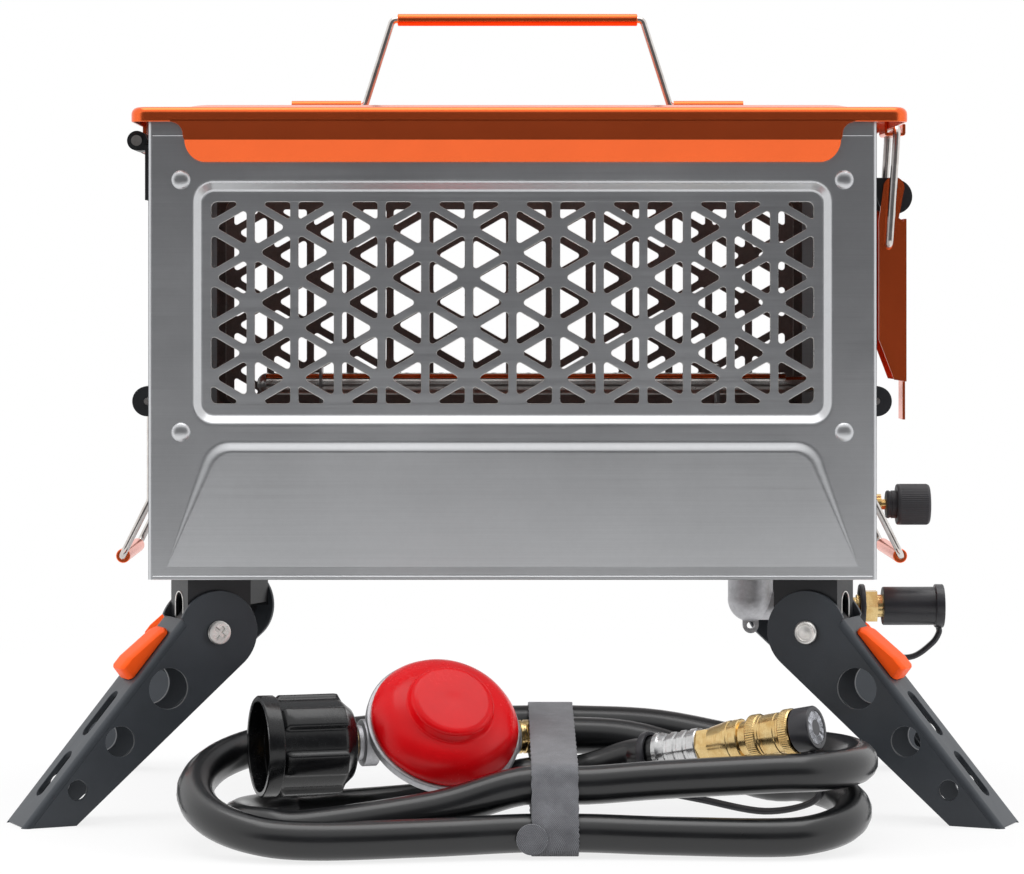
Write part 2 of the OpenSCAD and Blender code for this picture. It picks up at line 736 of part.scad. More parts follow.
module lid_tray() {
  inner = lid_edge_r - lid_t;
  mid_w = lid_w - 2 * plateau_inset;
  mid_d = lid_d - 2 * plateau_inset;
  mid_r = plateau_inset;
  edge_c = [lid_r - lid_edge_r, lid_top - lid_edge_r];
  sweep_rect(lid_w, lid_d, lid_r) polygon(concat(
    [[0, lid_under], [0, lid_top]], arc(edge_c, lid_edge_r, 90, 0),
    [[lid_r, rim_bottom], [lid_r - lid_t, rim_bottom]], arc(edge_c, inner, 0, 90)
  ));
  translate([0, 0, lid_under]) linear_extrude(lid_t) difference() {
    square([lid_w - 2 * lid_r, lid_d - 2 * lid_r], center = true);
    rounded_rect(mid_w, mid_d, mid_r);
  }
  sweep_rect(mid_w, mid_d, mid_r) polygon([
    [mid_r, lid_top], [mid_r, lid_under],
    [mid_r - plateau_slope, plateau_z - lid_t], [mid_r - plateau_slope, plateau_z]
  ]);
  translate([0, 0, plateau_z - lid_t]) linear_extrude(lid_t)
    rounded_rect(mid_w - 2 * plateau_slope, mid_d - 2 * plateau_slope, mid_r - plateau_slope);
}

module lid_apron() {
  fillet = 7;
  corner = 10;
  crease = rim_bottom - 10;
  low = rim_bottom - apron_drop;
  out = -lid_d / 2;
  flare = 1;
  root = 1;
  lean = min(3.4, lid_front - lid_t - 0.6);
  half = concat(
    [[apron_half + fillet, rim_bottom + root]], arc([apron_half + fillet, rim_bottom - fillet], fillet, 90, 180),
    arc([apron_half - corner, low + corner], corner, 0, -90)
  );
  intersection() {
    translate([0, out + 10, 0]) rotate([90, 0, 0]) linear_extrude(20)
      polygon(concat(half, [for (i = [len(half) - 1:-1:0]) [-half[i][0], half[i][1]]]));
    translate([-apron_half - 20, 0, 0]) rotate([90, 0, 90]) linear_extrude(2 * apron_half + 40) polygon([
      [out, rim_bottom + root], [out, rim_bottom], [out - flare, crease], [out + lean, low],
      [out + lean + lid_t, low], [out - flare + lid_t, crease], [out + lid_t, rim_bottom], [out + lid_t, rim_bottom + root]
    ]);
  }
}

module lid_hooks() {
  hook_r = hinge_barrel_r - 0.5;
  strap_left = -wall_x - lid_left + lid_t;
  for (k = [1, 3]) {
    from = -hinge_half + k * knuckle + body_gap / 2;
    long = knuckle - body_gap;
    difference() {
      union() {
        translate([hinge_x, from, hinge_z]) rotate([-90, 0, 0]) cylinder(r = hook_r, h = long);
        translate([strap_left, from, hinge_z]) cube([2, long, lid_under - hinge_z]);
      }
      translate([hinge_x, from - 1, hinge_z]) rotate([-90, 0, 0]) cylinder(r = hinge_pin_r + run_fit, h = long + 2);
    }
  }
}

module lid_catch() {
  half = 14;
  t = 1.8;
  inner = wall_x + lid_right - lid_t;
  seat = bail_bar[1] - bail_r - body_gap;
  tip = bail_bar[0] + bail_r + 2;
  translate([0, half, 0]) rotate([90, 0, 0]) linear_extrude(2 * half) polygon([
    [inner, lid_under], [inner - t, lid_under], [inner - t, seat - t], [tip + t, seat - t],
    [tip + t, seat + 5], [tip, seat + 5], [tip, seat], [inner, seat]
  ]);
}

module handle_clips() color(orange) for (side = [-1, 1])
  translate([lid_x + side * (lid_handle_foot + clip_len / 2 - 4), 0, plateau_z]) rotate([90, 0, 90]) {
    rise = handle_z - plateau_z;
    translate([0, 0, -clip_len / 2]) linear_extrude(clip_len) difference() {
      union() {
        intersection() {
          translate([0, rise]) circle(wire_r + 1.4);
          translate([-wire_r - 1.4, 0]) square([2 * wire_r + 2.8, 2 * rise + wire_r]);
        }
        translate([-wire_r - 1.4, 0]) square([2 * wire_r + 2.8, rise]);
        translate([-9, 0]) square([18, 1.2]);
      }
      translate([0, rise]) circle(wire_r + run_fit);
    }
  }

module handle_wire() color(wire_steel) {
  foot = lid_handle_foot;
  top = handle_z + lid_handle_h;
  end = foot + clip_len - 6;
  translate([lid_x, 0, 0]) wire([
    [-end, 0, handle_z], [-foot + 8, 0, handle_z], [-lid_handle_top, 0, top],
    [lid_handle_top, 0, top], [foot - 8, 0, handle_z], [end, 0, handle_z]
  ], wire_r, 4);
}

module handle_grip() color(orange) {
  half = lid_handle_top - 6;
  translate([lid_x - half, 0, handle_z + lid_handle_h]) rotate([0, 90, 0]) difference() {
    cylinder(r = lid_grip_r, h = 2 * half);
    translate([0, 0, -1]) cylinder(r = wire_r + run_fit, h = 2 * half + 2);
  }
}

module latch_bracket() color(black) {
  half = lever_half - lever_t - body_gap;
  ear = 2;
  ear_r = 5.5;
  guard_r = 10;
  guard = latch_p + [0.7, -5.2];
  foot = 24;
  difference() {
    union() {
      translate([wall_x, -half - 6, latch_p[1] - 16]) cube([2, 2 * half + 12, foot + 6]);
      for (y = [-half, half - ear]) {
        translate([latch_p[0], y, latch_p[1]]) rotate([-90, 0, 0]) cylinder(r = ear_r, h = ear);
        translate([guard[0], y, guard[1]]) rotate([-90, 0, 0]) cylinder(r = guard_r, h = ear);
        translate([wall_x, y, latch_p[1] - ear_r]) cube([latch_out, ear, 2 * ear_r]);
      }
    }
    translate([latch_p[0], -half - 1, latch_p[1]]) rotate([-90, 0, 0]) cylinder(r = wire_r + run_fit, h = 2 * half + 2);
  }
}

module latch_pin() color(wire_steel) translate([latch_p[0], -lever_half - 0.4, latch_p[1]])
  rotate([-90, 0, 0]) cylinder(r = wire_r, h = 2 * lever_half + 0.8);

module latch_lever() color(orange) {
  head = 6;
  web_top = latch_p[1] - 18;
  tab = 22;
  difference() {
    union() {
      for (y = [-lever_half, lever_half - lever_t]) translate([0, y + lever_t, 0]) rotate([90, 0, 0])
        linear_extrude(lever_t) union() {
          translate(latch_p) circle(head);
          polygon([
            latch_p + [-head, 0], latch_p + [head, 0], [lever_face - 4.4, web_top + 0.5],
            [lever_face, web_top - 2.5], [lever_face, lever_low],
            [lever_face - 7, lever_low + 1], [lever_face - 15.8, lever_low + 24], [lever_face - 15.8, web_top - 1]
          ]);
        }
      translate([lever_face - lever_t, -lever_half, lever_low]) cube([lever_t, 2 * lever_half, web_top - lever_low]);
      translate([lever_face - lever_t, -10, lever_low - tab]) cube([lever_t, 20, tab]);
    }
    for (p = [[latch_p, wire_r], [bail_foot, bail_r]]) translate([p[0][0], -lever_half - 1, p[0][1]]) rotate([-90, 0, 0])
      cylinder(r = p[1] + run_fit, h = 2 * lever_half + 2);
  }
}

module latch_bail() color(wire_steel) {
  stub = lever_half - 2.7;
  wire([
    [bail_foot[0], -stub, bail_foot[1]], [bail_foot[0], -bail_half, bail_foot[1]],
    [bail_bar[0], -bail_half, bail_bar[1]], [bail_bar[0], bail_half, bail_bar[1]],
    [bail_foot[0], bail_half, bail_foot[1]], [bail_foot[0], stub, bail_foot[1]]
  ], bail_r, 4);
}

module handle_saddles() color(black) for (turn = [0, 180]) rotate(turn) for (y = [-1, 1])
  translate([0, y * (side_half + 7 + saddle_len / 2), 0]) rotate([90, 0, 0])
    translate([0, 0, -saddle_len / 2]) linear_extrude(saddle_len) difference() {
      intersection() {
        translate([side_x, side_z]) circle(saddle_r);
        translate([wall_x, side_z - saddle_r]) square([2 * saddle_r, 2 * saddle_r]);
      }
      translate([side_x, side_z]) circle(wire_r + run_fit);
    }

module side_wire() {
  end = side_half + 7 + saddle_len;
  knee = side_z - 56;
  grip_x = side_x + side_kick;
  grip_z = side_z - side_drop;
  wire([
    [side_x, -end, side_z], [side_x, -side_half, side_z], [side_x, -side_half, knee], [grip_x, -side_half, grip_z],
    [grip_x, side_half, grip_z], [side_x, side_half, knee], [side_x, side_half, side_z], [side_x, end, side_z]
  ], wire_r, 6);
}

module side_grip() translate([side_x + side_kick, -side_half + 8, side_z - side_drop]) rotate([-90, 0, 0]) difference() {
  cylinder(r = side_grip_r, h = 2 * side_half - 16);
  translate([0, 0, -1]) cylinder(r = wire_r + run_fit, h = 2 * side_half);
}

module right_handle_wire() color(wire_steel) side_wire();
module right_handle_grip() color(orange) side_grip();
module left_handle_wire() color(wire_steel) rotate(180) side_wire();
module left_handle_grip() color(orange) rotate(180) side_grip();

// Leg frame: x outwards along the splay, y along the pivot, z up, origin on the pivot
module at_leg(side, end) translate([side * leg_x, end * leg_y, leg_z]) rotate(leg_turn(side, end)) children();
module at_legs() for (side = [-1, 1]) for (end = [-1, 1]) at_leg(side, end) children();

// Children are flat in the leg's plane: x along the leg, y towards its outer face
module leg_plate(from, thick) translate([0, from + thick, 0]) rotate([90, 0, 0]) linear_extrude(thick) children();

module leg_brackets() color(black) at_legs() difference() {
  inner_u = -20;
  plate_t = 2;
  arch_r = tongue_half + 1.5;
  arch_top = 22;
  union() {
    translate([inner_u, -bracket_half, bracket_h - plate_t]) cube([plate_u - inner_u, 2 * bracket_half, plate_t]);
    for (y = [-bracket_half, bracket_half - bracket_t]) leg_plate(y, bracket_t) {
      circle(12);
      translate([inner_u, 0]) square([plate_u - inner_u, bracket_h]);
    }
    for (u = [inner_u, plate_u - plate_t]) translate([u, -bracket_half, u > 0 ? -3 : 2])
      cube([plate_t, 2 * bracket_half, bracket_h + (u > 0 ? 3 : -2)]);
  }
  rotate([90, 0, 0]) translate([0, 0, -leg_w]) cylinder(r = leg_bolt_r + run_fit, h = 2 * leg_w);
  translate([plate_u - plate_t - 1, -arch_r, -20]) cube([plate_t + 2, 2 * arch_r, 20 + arch_top - arch_r]);
  translate([plate_u - plate_t - 1, 0, arch_top - arch_r]) rotate([0, 90, 0]) cylinder(r = arch_r, h = plate_t + 2);
}

module leg_bolts() color(wire_steel) at_legs() rotate([90, 0, 0]) {
  half = leg_w / 2;
  translate([0, 0, -half]) cylinder(r = leg_bolt_r, h = leg_w);
  for (end = [-1, 1]) translate([0, 0, end > 0 ? half + 0.2 : -half - 0.2 - 2.4]) difference() {
    cylinder(r = leg_bolt_head_r, h = 2.4);
    translate([0, 0, end > 0 ? 1.6 : -0.2]) cylinder(r = leg_bolt_head_r - 2, h = 1);
  }
  translate([0, 0, -half - 0.4]) cylinder(r = leg_bolt_r, h = leg_w + 0.8);
}

// Flange openings: place along the leg, place across it, radius
leg_holes = [[41.4, 3.2, 11.3], [80.5, 6.9, 8.4], [115.3, 9.5, 5.5]];
leg_slots = [73.5, 114.5];
slot_len = 30;
slot_half = 4;
button_at = 33;
web_start = 7;

module leg() rotate([0, leg_angle, 0]) difference() {
  web_in = leg_web - leg_t;
  union() {
    for (y = [-leg_w / 2, leg_w / 2 - leg_t]) leg_plate(y, leg_t) difference() {
      union() {
        circle(leg_head_r);
        polygon([
          [web_start, leg_web], [foot_a(leg_web), leg_web], [foot_a(foot_low), foot_low], arm_low_start, [0, 0]
        ]);
      }
      for (h = leg_holes) translate([h[0], h[1]]) circle(h[2]);
      circle(leg_bolt_r + run_fit);
    }
    translate([web_start, -leg_in, web_in]) cube([foot_a(leg_web) - web_start, 2 * leg_in, leg_t]);
  }
  for (a = leg_slots) translate([a, 0, web_in - 1]) linear_extrude(leg_t + 2) {
    square([slot_len - 2 * slot_half, 2 * slot_half], center = true);
    for (end = [-1, 1]) translate([end * (slot_len / 2 - slot_half), 0]) circle(slot_half);
  }
  translate([button_at - 8, -tongue_half - body_gap, web_in - 1])
    cube([10 + button_travel, 2 * (tongue_half + body_gap), leg_t + 2]);
  rotate([0, -leg_angle, 0]) translate([0, -leg_w, -2 * leg_z]) cube([2 * foot_a(leg_web), 2 * leg_w, leg_z]);
}

// A release button with its stem through the leg and its lock tongue behind
module leg_button() rotate([0, leg_angle, 0]) {
  half = 10;
  long = 36;
  tongue_t = 2;
  tongue_top = leg_web - leg_t - body_gap;
  seat = leg_web + body_gap;
  translate([button_at - long / 2, half, seat]) rotate([90, 0, 0]) linear_extrude(2 * half)
    polygon(rounded([[0, 0], [long, 0], [long - 2, 9], [long - 10, 9], [4, 4]], 1.5));
  translate([button_at - 7.5, -tongue_half, tongue_top - tongue_t])
    cube([9, 2 * tongue_half, seat - tongue_top + tongue_t + 0.5]);
  translate([-8, -tongue_half, tongue_top - tongue_t]) cube([button_at + 2, 2 * tongue_half, tongue_t]);
}

module leg_front_left() color(charcoal) at_leg(-1, -1) leg();
module leg_front_right() color(charcoal) at_leg(1, -1) leg();
module leg_rear_left() color(charcoal) at_leg(-1, 1) leg();
module leg_rear_right() color(charcoal) at_leg(1, 1) leg();
module button_front_left() color(orange) at_leg(-1, -1) leg_button();
module button_front_right() color(orange) at_leg(1, -1) leg_button();
module button_rear_left() color(orange) at_leg(-1, 1) leg_button();
module button_rear_right() color(orange) at_leg(1, 1) leg_button();

// A faceted tube along a line of points, its rings square to the line
module tube(line, r, sides, level = [0, 0, 1]) {
  last = len(line) - 1;
  tangents = [for (i = [0:last]) unit(line[min(last, i + 1)] - line[max(0, i - 1)])];
  rings = [
    for (i = [0:last])
      let (z = i == 0 ? unit(line[1] - line[0]) : i == last ? unit(line[last] - line[last - 1]) : tangents[i])
      let (x = unit(cross(level, z)), y = cross(z, x))
      for (k = [0:sides - 1]) let (a = 360 * k / sides) line[i] + r * (cos(a) * x + sin(a) * y)
  ];
  walls = [
    for (i = [0:last - 1]) for (k = [0:sides - 1])
      let (a = i * sides + k, b = i * sides + (k + 1) % sides)
      each [[a, b + sides, b], [a, a + sides, b + sides]]
  ];
  caps = [
    for (k = [1:sides - 2]) each [[0, k, k + 1], [last * sides, last * sides + k + 1, last * sides + k]]
  ];
  polyhedron(rings, concat(walls, caps));
}

module hose() color(black) tube(hose_line, hose_r, hose_sides);

// Tubes that the strap pulls together, as [y, z]
strap_holds = [[-234, 12], [-222, 35], [-107, 53], [-131.6, 49.4], [-149.5, 30.5]];
strap_tubes = [for (p = strap_holds) p + [set_y, 0]];
module strap_outline(r) hull() for (p = strap_tubes) translate(p) circle(r, $fn = 32);
module hose_strap() color(strap_grey) {
  slack = 0.8;
  thick = 1.0;
  tab_r = 8;
  front = strap_tubes[0][0] - hose_r - slack - thick;
  translate([strap_x - strap_w / 2, 0, 0]) rotate([90, 0, 90]) linear_extrude(strap_w) difference() {
    strap_outline(hose_r + slack + thick);
    strap_outline(hose_r + slack);
  }
  translate([strap_x - strap_w / 2, front + 0.2, strap_tubes[0][1] - 1.5]) rotate([90, 0, 0]) cylinder(r = tab_r, h = 1.4);
}

// Children are drawn with their z along the regulator's port axis, towards the outlet
module at_port() frame_at(port_centre, face_dir, port_dir) children();
// Children are drawn with their z along the regulator's face
module at_face() frame_at(port_centre, port_dir, face_dir) children();

module hose_outlet() color(brass) at_port() translate([0, 0, outlet_len - outlet_fit])
  cylinder(r = hose_r - 1, h = outlet_fit);

module regulator_base() color(zinc) {
  lip = 5;
  at_face() {
    translate([0, 0, flange_rise - lip]) cylinder(r = cover_r, h = lip);
    translate([0, 0, -10]) cylinder(r1 = 16, r2 = 34, h = flange_rise - lip + 10);
    rotate(35) translate([26, 0, flange_rise - lip - 7]) cylinder(r = 5, h = 7);
  }
  at_port() {
    cylinder(r = port_r, h = outlet_len - outlet_fit);
    translate([0, 0, -nut_from + 3]) cylinder(r = port_r, h = nut_from - 3);
    translate([0, 0, -nut_from + 6]) cylinder(r = port_r + 3, h = 8);
  }
}

module regulator_cover() color(red) at_face() translate([0, 0, flange_rise]) {
  rim = cover_r - 2;
  rotate_extrude() polygon(concat(
    [[0, 0], [rim, 0]], arc([rim - 4, 4], 4, 0, 70), [[34, 11.4], [29.5, 14.2], [24, 16]],
    arc([20, 20], 3, -10, 90, 4), [[0, 23]]
  ));
}

module qcc_nipple() color(brass) at_port() rotate([180, 0, 0]) {
  translate([0, 0, nut_from - 3]) cylinder(r = 8, h = nut_len - 9);
  translate([0, 0, nut_from + nut_len - 12]) cylinder(r1 = 8, r2 = 5, h = 9);
}

module qcc_nut() color(black) at_port() rotate([180, 0, 0]) translate([0, 0, nut_from]) difference() {
  mouth = 9;
  union() {
    cylinder(r1 = nut_r - 8, r2 = nut_r - 2.8, h = 8);
    translate([0, 0, 8]) cylinder(r = nut_r - 2.8, h = nut_len - 8);
    translate([0, 0, nut_len - mouth]) cylinder(r = nut_r - 0.3, h = mouth);
    for (a = [15:60:315]) rotate(a) translate([nut_r - 6, -6, 5]) cube([6, 12, nut_len - mouth - 7]);
  }
  translate([0, 0, 10]) cylinder(r = nut_r - 5, h = nut_len);
  translate([0, 0, nut_len - mouth]) cylinder(r = nut_r - 3.5, h = mouth + 1);
  translate([0, 0, -1]) cylinder(r = 8 + run_fit, h = nut_len);
}

module at_coupler() frame_at(coupler_at, coupler_side, coupler_dir) children();

module hose_ferrule() color(zinc) at_coupler() {
  cylinder(r = ferrule_r, h = 3);
  translate([0, 0, 3]) cylinder(r = ferrule_r - 1, h = ferrule_len - 3);
}

module coupler_body() color(brass) at_coupler() difference() {
  neck = 7;
  taper = 10;
  union() {
    translate([0, 0, ferrule_len]) cylinder(r = shoulder_r - 1, h = neck, $fn = 6);
    translate([0, 0, ferrule_len + neck]) cylinder(r1 = core_r, r2 = shoulder_r, h = taper);
    translate([0, 0, ferrule_len + neck + taper]) cylinder(r = shoulder_r, h = shoulder_end - ferrule_len - neck - taper);
    translate([0, 0, shoulder_end]) cylinder(r = core_r, h = plug_from - shoulder_end - body_gap);
  }
  translate([0, 0, plug_from - spigot_len - 3]) cylinder(r = spigot_r + hole_fit, h = spigot_len + 4);
}

module coupler_sleeve() color(brass) at_coupler() translate([0, 0, sleeve_from]) difference() {
  long = sleeve_to - sleeve_from;
  union() {
    cylinder(r = sleeve_r - 1, h = long);
    for (z = [0, long - 6]) translate([0, 0, z]) cylinder(r = sleeve_r, h = 6);
  }
  translate([0, 0, -1]) cylinder(r = core_r + run_fit, h = long + 2);
}

module coupler_plug() color(black) at_coupler() translate([0, 0, plug_from]) difference() {
  union() {
    cylinder(r = sleeve_r - 0.5, h = plug_len);
    translate([0, 0, -spigot_len]) cylinder(r = spigot_r, h = spigot_len + 1);
  }
  translate([0, 0, 5]) cylinder(r = 3.4, h = plug_len);
}

module plug_tether() color(black) {
  ring_at = -8;
  ring_in = hose_r + 0.3;
  ring_t = 2.2;
  up = cross(coupler_dir, coupler_side);
  ring_low = coupler_at + (ring_at + 2) * coupler_dir - (ring_in + 1.1) * up;
  plug_low = coupler_at + (plug_from + plug_len - 5) * coupler_dir - (sleeve_r + 1.1) * up;
  sag = [[-1.8, 2, -19.6], [21.7, -6, -23.6], [54.2, -18, -28.1], [78.2, -30, -21.6], [83.2, -36, -9.6], [78.2, -42.5, 0.4]];
  at_coupler() translate([0, 0, ring_at]) difference() {
    cylinder(r = ring_in + ring_t, h = 4);
    translate([0, 0, -1]) cylinder(r = ring_in, h = 6);
  }
  tube(smooth_line(concat(
    [ring_low, ring_low - 4 * up], [for (p = sag) coupler_at + p], [plug_low]
  ), 3), 1.8, 8, coupler_side);
}

front_panel();
rear_panel();
left_wall();
right_wall();
floor_pan();
rim_frame();
panel_rivets();
floor_screws();
heat_shield();
burner_tube();
burner_brackets();
feed_pipe();
supply_pipe();
gas_valve();
valve_stem();
gas_manifold();
gas_pipe();
gas_inlet();
hinge_leaf();
hinge_pin();
latch_bracket();
latch_pin();
handle_saddles();
leg_brackets();
leg_bolts();
lid();
handle_clips();
handle_wire();
handle_grip();
latch_lever();
latch_bail();
left_handle_wire();
left_handle_grip();
right_handle_wire();
right_handle_grip();
valve_knob();
inlet_cap();
cap_tether();
leg_front_left();
leg_front_right();
leg_rear_left();
leg_rear_right();
button_front_left();
button_front_right();
button_rear_left();
button_rear_right();
hose();
hose_strap();
hose_outlet();
hose_ferrule();
regulator_base();
regulator_cover();
qcc_nut();
qcc_nipple();
coupler_body();
coupler_sleeve();
coupler_plug();
plug_tether();
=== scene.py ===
from math import cos, hypot, pi, radians, sin, sqrt, tan
import bmesh
import bpy
from mathutils import Matrix, Vector


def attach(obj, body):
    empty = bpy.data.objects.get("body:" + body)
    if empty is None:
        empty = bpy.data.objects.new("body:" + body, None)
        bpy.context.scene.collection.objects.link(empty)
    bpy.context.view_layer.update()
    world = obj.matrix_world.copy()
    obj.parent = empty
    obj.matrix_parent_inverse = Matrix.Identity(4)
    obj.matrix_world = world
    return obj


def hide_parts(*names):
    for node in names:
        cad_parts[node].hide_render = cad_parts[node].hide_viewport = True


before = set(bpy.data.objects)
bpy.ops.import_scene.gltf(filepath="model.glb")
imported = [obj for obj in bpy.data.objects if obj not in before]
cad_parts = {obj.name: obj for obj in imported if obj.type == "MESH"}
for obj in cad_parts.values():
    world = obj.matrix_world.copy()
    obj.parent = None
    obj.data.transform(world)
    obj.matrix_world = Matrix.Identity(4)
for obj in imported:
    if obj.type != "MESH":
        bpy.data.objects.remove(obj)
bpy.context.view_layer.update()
scene = bpy.context.scene
scene.view_settings.view_transform = "Standard"
link = scene.collection.objects.link

# Sizes in millimetres, as in the part's source, but for the lid handle, the foot and the leg slots
MM = 0.001
BODY_W, BODY_D, BODY_Z, BODY_H, SHEET = 400, 200, 131, 257.5, 1.5
BODY_TOP = BODY_Z + BODY_H
WINDOW_W, WINDOW_H, WINDOW_Z, WINDOW_R, WINDOW_DEPTH = 352, 134, BODY_Z + 152, 12, 4
CELL, COLUMNS, BAR = 27.7, 14, 4.6
FOOT_LOW, FOOT_HIGH, FOOT_EDGE, FOOT_R, FOOT_OUT = BODY_Z + 7, BODY_Z + 76, 6, 16, 2.5
SIDE_ROLL = 2.5
RIVET_X, RIVET_ROWS = 182, (BODY_Z + 81, BODY_Z + 219.5)
LID_UNDER = BODY_TOP + 0.4
LID_T = 1.5
LID_TOP = LID_UNDER + LID_T
LID_RIM = LID_TOP - 8.2
LID_W, LID_D, LID_X = 426.5, 212, 3.75
LID_FLAT, LID_EDGE = 20, 4
PLATEAU = LID_TOP + 2.6
HINGE_X, HINGE_Z, KNUCKLE = -208.5, BODY_TOP - 15.5, 29.7
HANDLE_Z = PLATEAU + 2.6
HANDLE_END, HANDLE_FOOT, HANDLE_TOP, HANDLE_RISE, HANDLE_GRIP = 128, 88, 72, 50, 138
WIRE_R, BAIL_R = 1.9, 2
LATCH_P = (218.8, BODY_TOP - 39.8)
BAIL_FOOT = (LATCH_P[0] - 3.2, LATCH_P[1] - 33.6)
BAIL_BAR = (LATCH_P[0] + 1.2, LATCH_P[1] + 33.7)
BAIL_END, BAIL_HALF = 14.3, 22
SIDE_X, SIDE_Z, SIDE_HALF, SIDE_END = 203.2, 228, 52, 70
SIDE_BEND, SIDE_DROP, SIDE_KICK, SIDE_GRIP = 56, 88, 16, 88
LEG_X, LEG_Y, LEG_Z, LEG_PLAN, LEG_ANGLE = 168.5, 79, 101.5, 25, 50
LEG_W, LEG_T, LEG_WEB, LEG_BEND, LEG_HEAD = 32, 2.5, 20.8, 3.6, 23
LEG_HOLES = ((41.4, 3.2, 11.3, 48), (80.5, 6.9, 8.4, 40), (115.3, 9.5, 5.5, 32), (0, 0, 4.1, 32))
LEG_SLOTS, BUTTON_SLOT = (73.5, 114.5), 33
VALVE_Z, INLET_Z, BURNER_Z = BODY_Z + 35.5, BODY_Z - 23, BODY_Z + 105
BURNER_X, BURNER_R, BURNER_LONG, PORTS, PORT_STEP = -140, 6.3, 298, 28, 10
KNOB_X, CAP_X = 222, 214
HOSE_R = 10
PORT = Vector((-40, -150, 49.4))
OUTLET, NUT_BACK = 52, 49
COVER_TILT, COVER_TURN = radians(48), radians(17)
PORT_DIR = Vector((cos(COVER_TURN), sin(COVER_TURN), 0))
FACE_DIR = Vector((
    sin(COVER_TILT) * sin(COVER_TURN),
    -sin(COVER_TILT) * cos(COVER_TURN),
    cos(COVER_TILT),
))
COUPLER = Vector((77.8, -162, 43.6))
COUPLER_RISE, COUPLER_TURN = radians(12), radians(30.7)
COUPLER_SIDE = Vector((sin(COUPLER_TURN), cos(COUPLER_TURN), 0))
COUPLER_DIR = Vector((
    cos(COUPLER_RISE) * cos(COUPLER_TURN),
    -cos(COUPLER_RISE) * sin(COUPLER_TURN),
    sin(COUPLER_RISE),
))
COUPLER_UP = COUPLER_DIR.cross(COUPLER_SIDE)
SLEEVE_AT, PLUG_AT = 57, 82.8
STRAP_X, STRAP_HALF, STRAP_SLACK = 20.5, 12, 0.8

# Camera: level, a little left of the middle, with the lens raised as in the photograph
CAMERA_AT, LENS, SENSOR = (-0.0184, -2.090, 0.290), 127.5, 36
PHOTO_W, SHIFT_X, SHIFT_Y = 1024, 33, -147
camera = bpy.data.objects.new("camera", bpy.data.cameras.new("camera"))
link(camera)
camera.location = CAMERA_AT
camera.rotation_euler = (pi / 2, 0, 0)
camera.data.sensor_width = SENSOR
camera.data.lens = LENS
camera.data.shift_x = SHIFT_X / PHOTO_W
camera.data.shift_y = SHIFT_Y / PHOTO_W
scene.camera = camera


# Finishes
class Field:
    """One socket of a node tree; arithmetic on it adds Math nodes."""

    def __init__(self, tree, socket):
        self.tree, self.socket = tree, socket

    def make(self, kind, settings=None, out=0, **values):
        """A node of that kind with its settings.

        Its sockets are given by name, with underscores for spaces, or by number, as _0.
        """
        made = self.tree.nodes.new(kind)
        for key, value in (settings or {}).items():
            setattr(made, key, value)
        for key, value in values.items():
            socket = made.inputs[int(key[1:]) if key[0] == "_" else key.replace("_", " ")]
            if isinstance(value, Field):
                self.tree.links.new(value.socket, socket)
            else:
                socket.default_value = value
        return Field(self.tree, made.outputs[out])

    def calc(self, operation, a, b=0):
        return self.make("ShaderNodeMath", {"operation": operation}, _0=a, _1=b)

    def __add__(self, other):
        return self.calc("ADD", self, other)

    def __sub__(self, other):
        return self.calc("SUBTRACT", self, other)

    def __rsub__(self, other):
        return self.calc("SUBTRACT", other, self)

    def __mul__(self, other):
        return self.calc("MULTIPLY", self, other)

    def ramp(self, low, high, to_low=0.0, to_high=1.0):
        return self.make(
            "ShaderNodeMapRange", {"interpolation_type": "SMOOTHSTEP"}, Value=self,
            From_Min=low, From_Max=high, To_Min=to_low, To_Max=to_high,
        )

    def blend(self, a, b):
        """Colour a where this is 0 and b where it is 1."""
        return self.make(
            "ShaderNodeMix", {"data_type": "RGBA"}, 2, _0=self, _6=colour(a), _7=colour(b)
        )


def colour(c):
    return c if isinstance(c, Field) else (*c, 1)


def srgb(*levels):
    """Linear colour of an 8-bit screen colour."""
    shares = [v / 255 for v in levels]
    return tuple(v / 12.92 if v < 0.04045 else ((v + 0.055) / 1.055) ** 2.4 for v in shares)


def around(base, share):
    """The colour that is darker than base by a share, and the one that is as much lighter."""
    return tuple(c * (1 - share) for c in base), tuple(min(1, c * (1 + share)) for c in base)


class Finish:
    """A material in the making: its place on the piece, its noises, and its shader's sockets."""

    def __init__(self, name, **fixed):
        self.material = bpy.data.materials.new(name)
        self.material.use_nodes = True
        self.tree = self.material.node_tree
        self.shader = self.tree.nodes["Principled BSDF"]
        for key, value in fixed.items():
            socket = self.shader.inputs[key.replace("_", " ")]
            socket.default_value = colour(value) if hasattr(value, "__len__") else value
        self.field = Field(self.tree, None)
        self.place = self.field.make("ShaderNodeTexCoord", None, "Object")

    def stretched(self, x, y, z):
        return self.field.make("ShaderNodeMapping", Vector=self.place, Scale=(x, y, z))

    def noise(self, scale, detail, rough, at=None):
        return self.field.make(
            "ShaderNodeTexNoise", Vector=at or self.place,
            Scale=scale, Detail=detail, Roughness=rough,
        )

    def axis(self, name):
        return self.field.make("ShaderNodeSeparateXYZ", None, name, Vector=self.place)

    def set(self, bump, depth, strength, **sockets):
        """The material, with its bump and the sockets that vary."""
        for key, value in sockets.items():
            self.tree.links.new(value.socket, self.shader.inputs[key.replace("_", " ")])
        normal = self.field.make("ShaderNodeBump", Strength=strength, Distance=depth, Height=bump)
        self.tree.links.new(normal.socket, self.shader.inputs["Normal"])
        return self.material


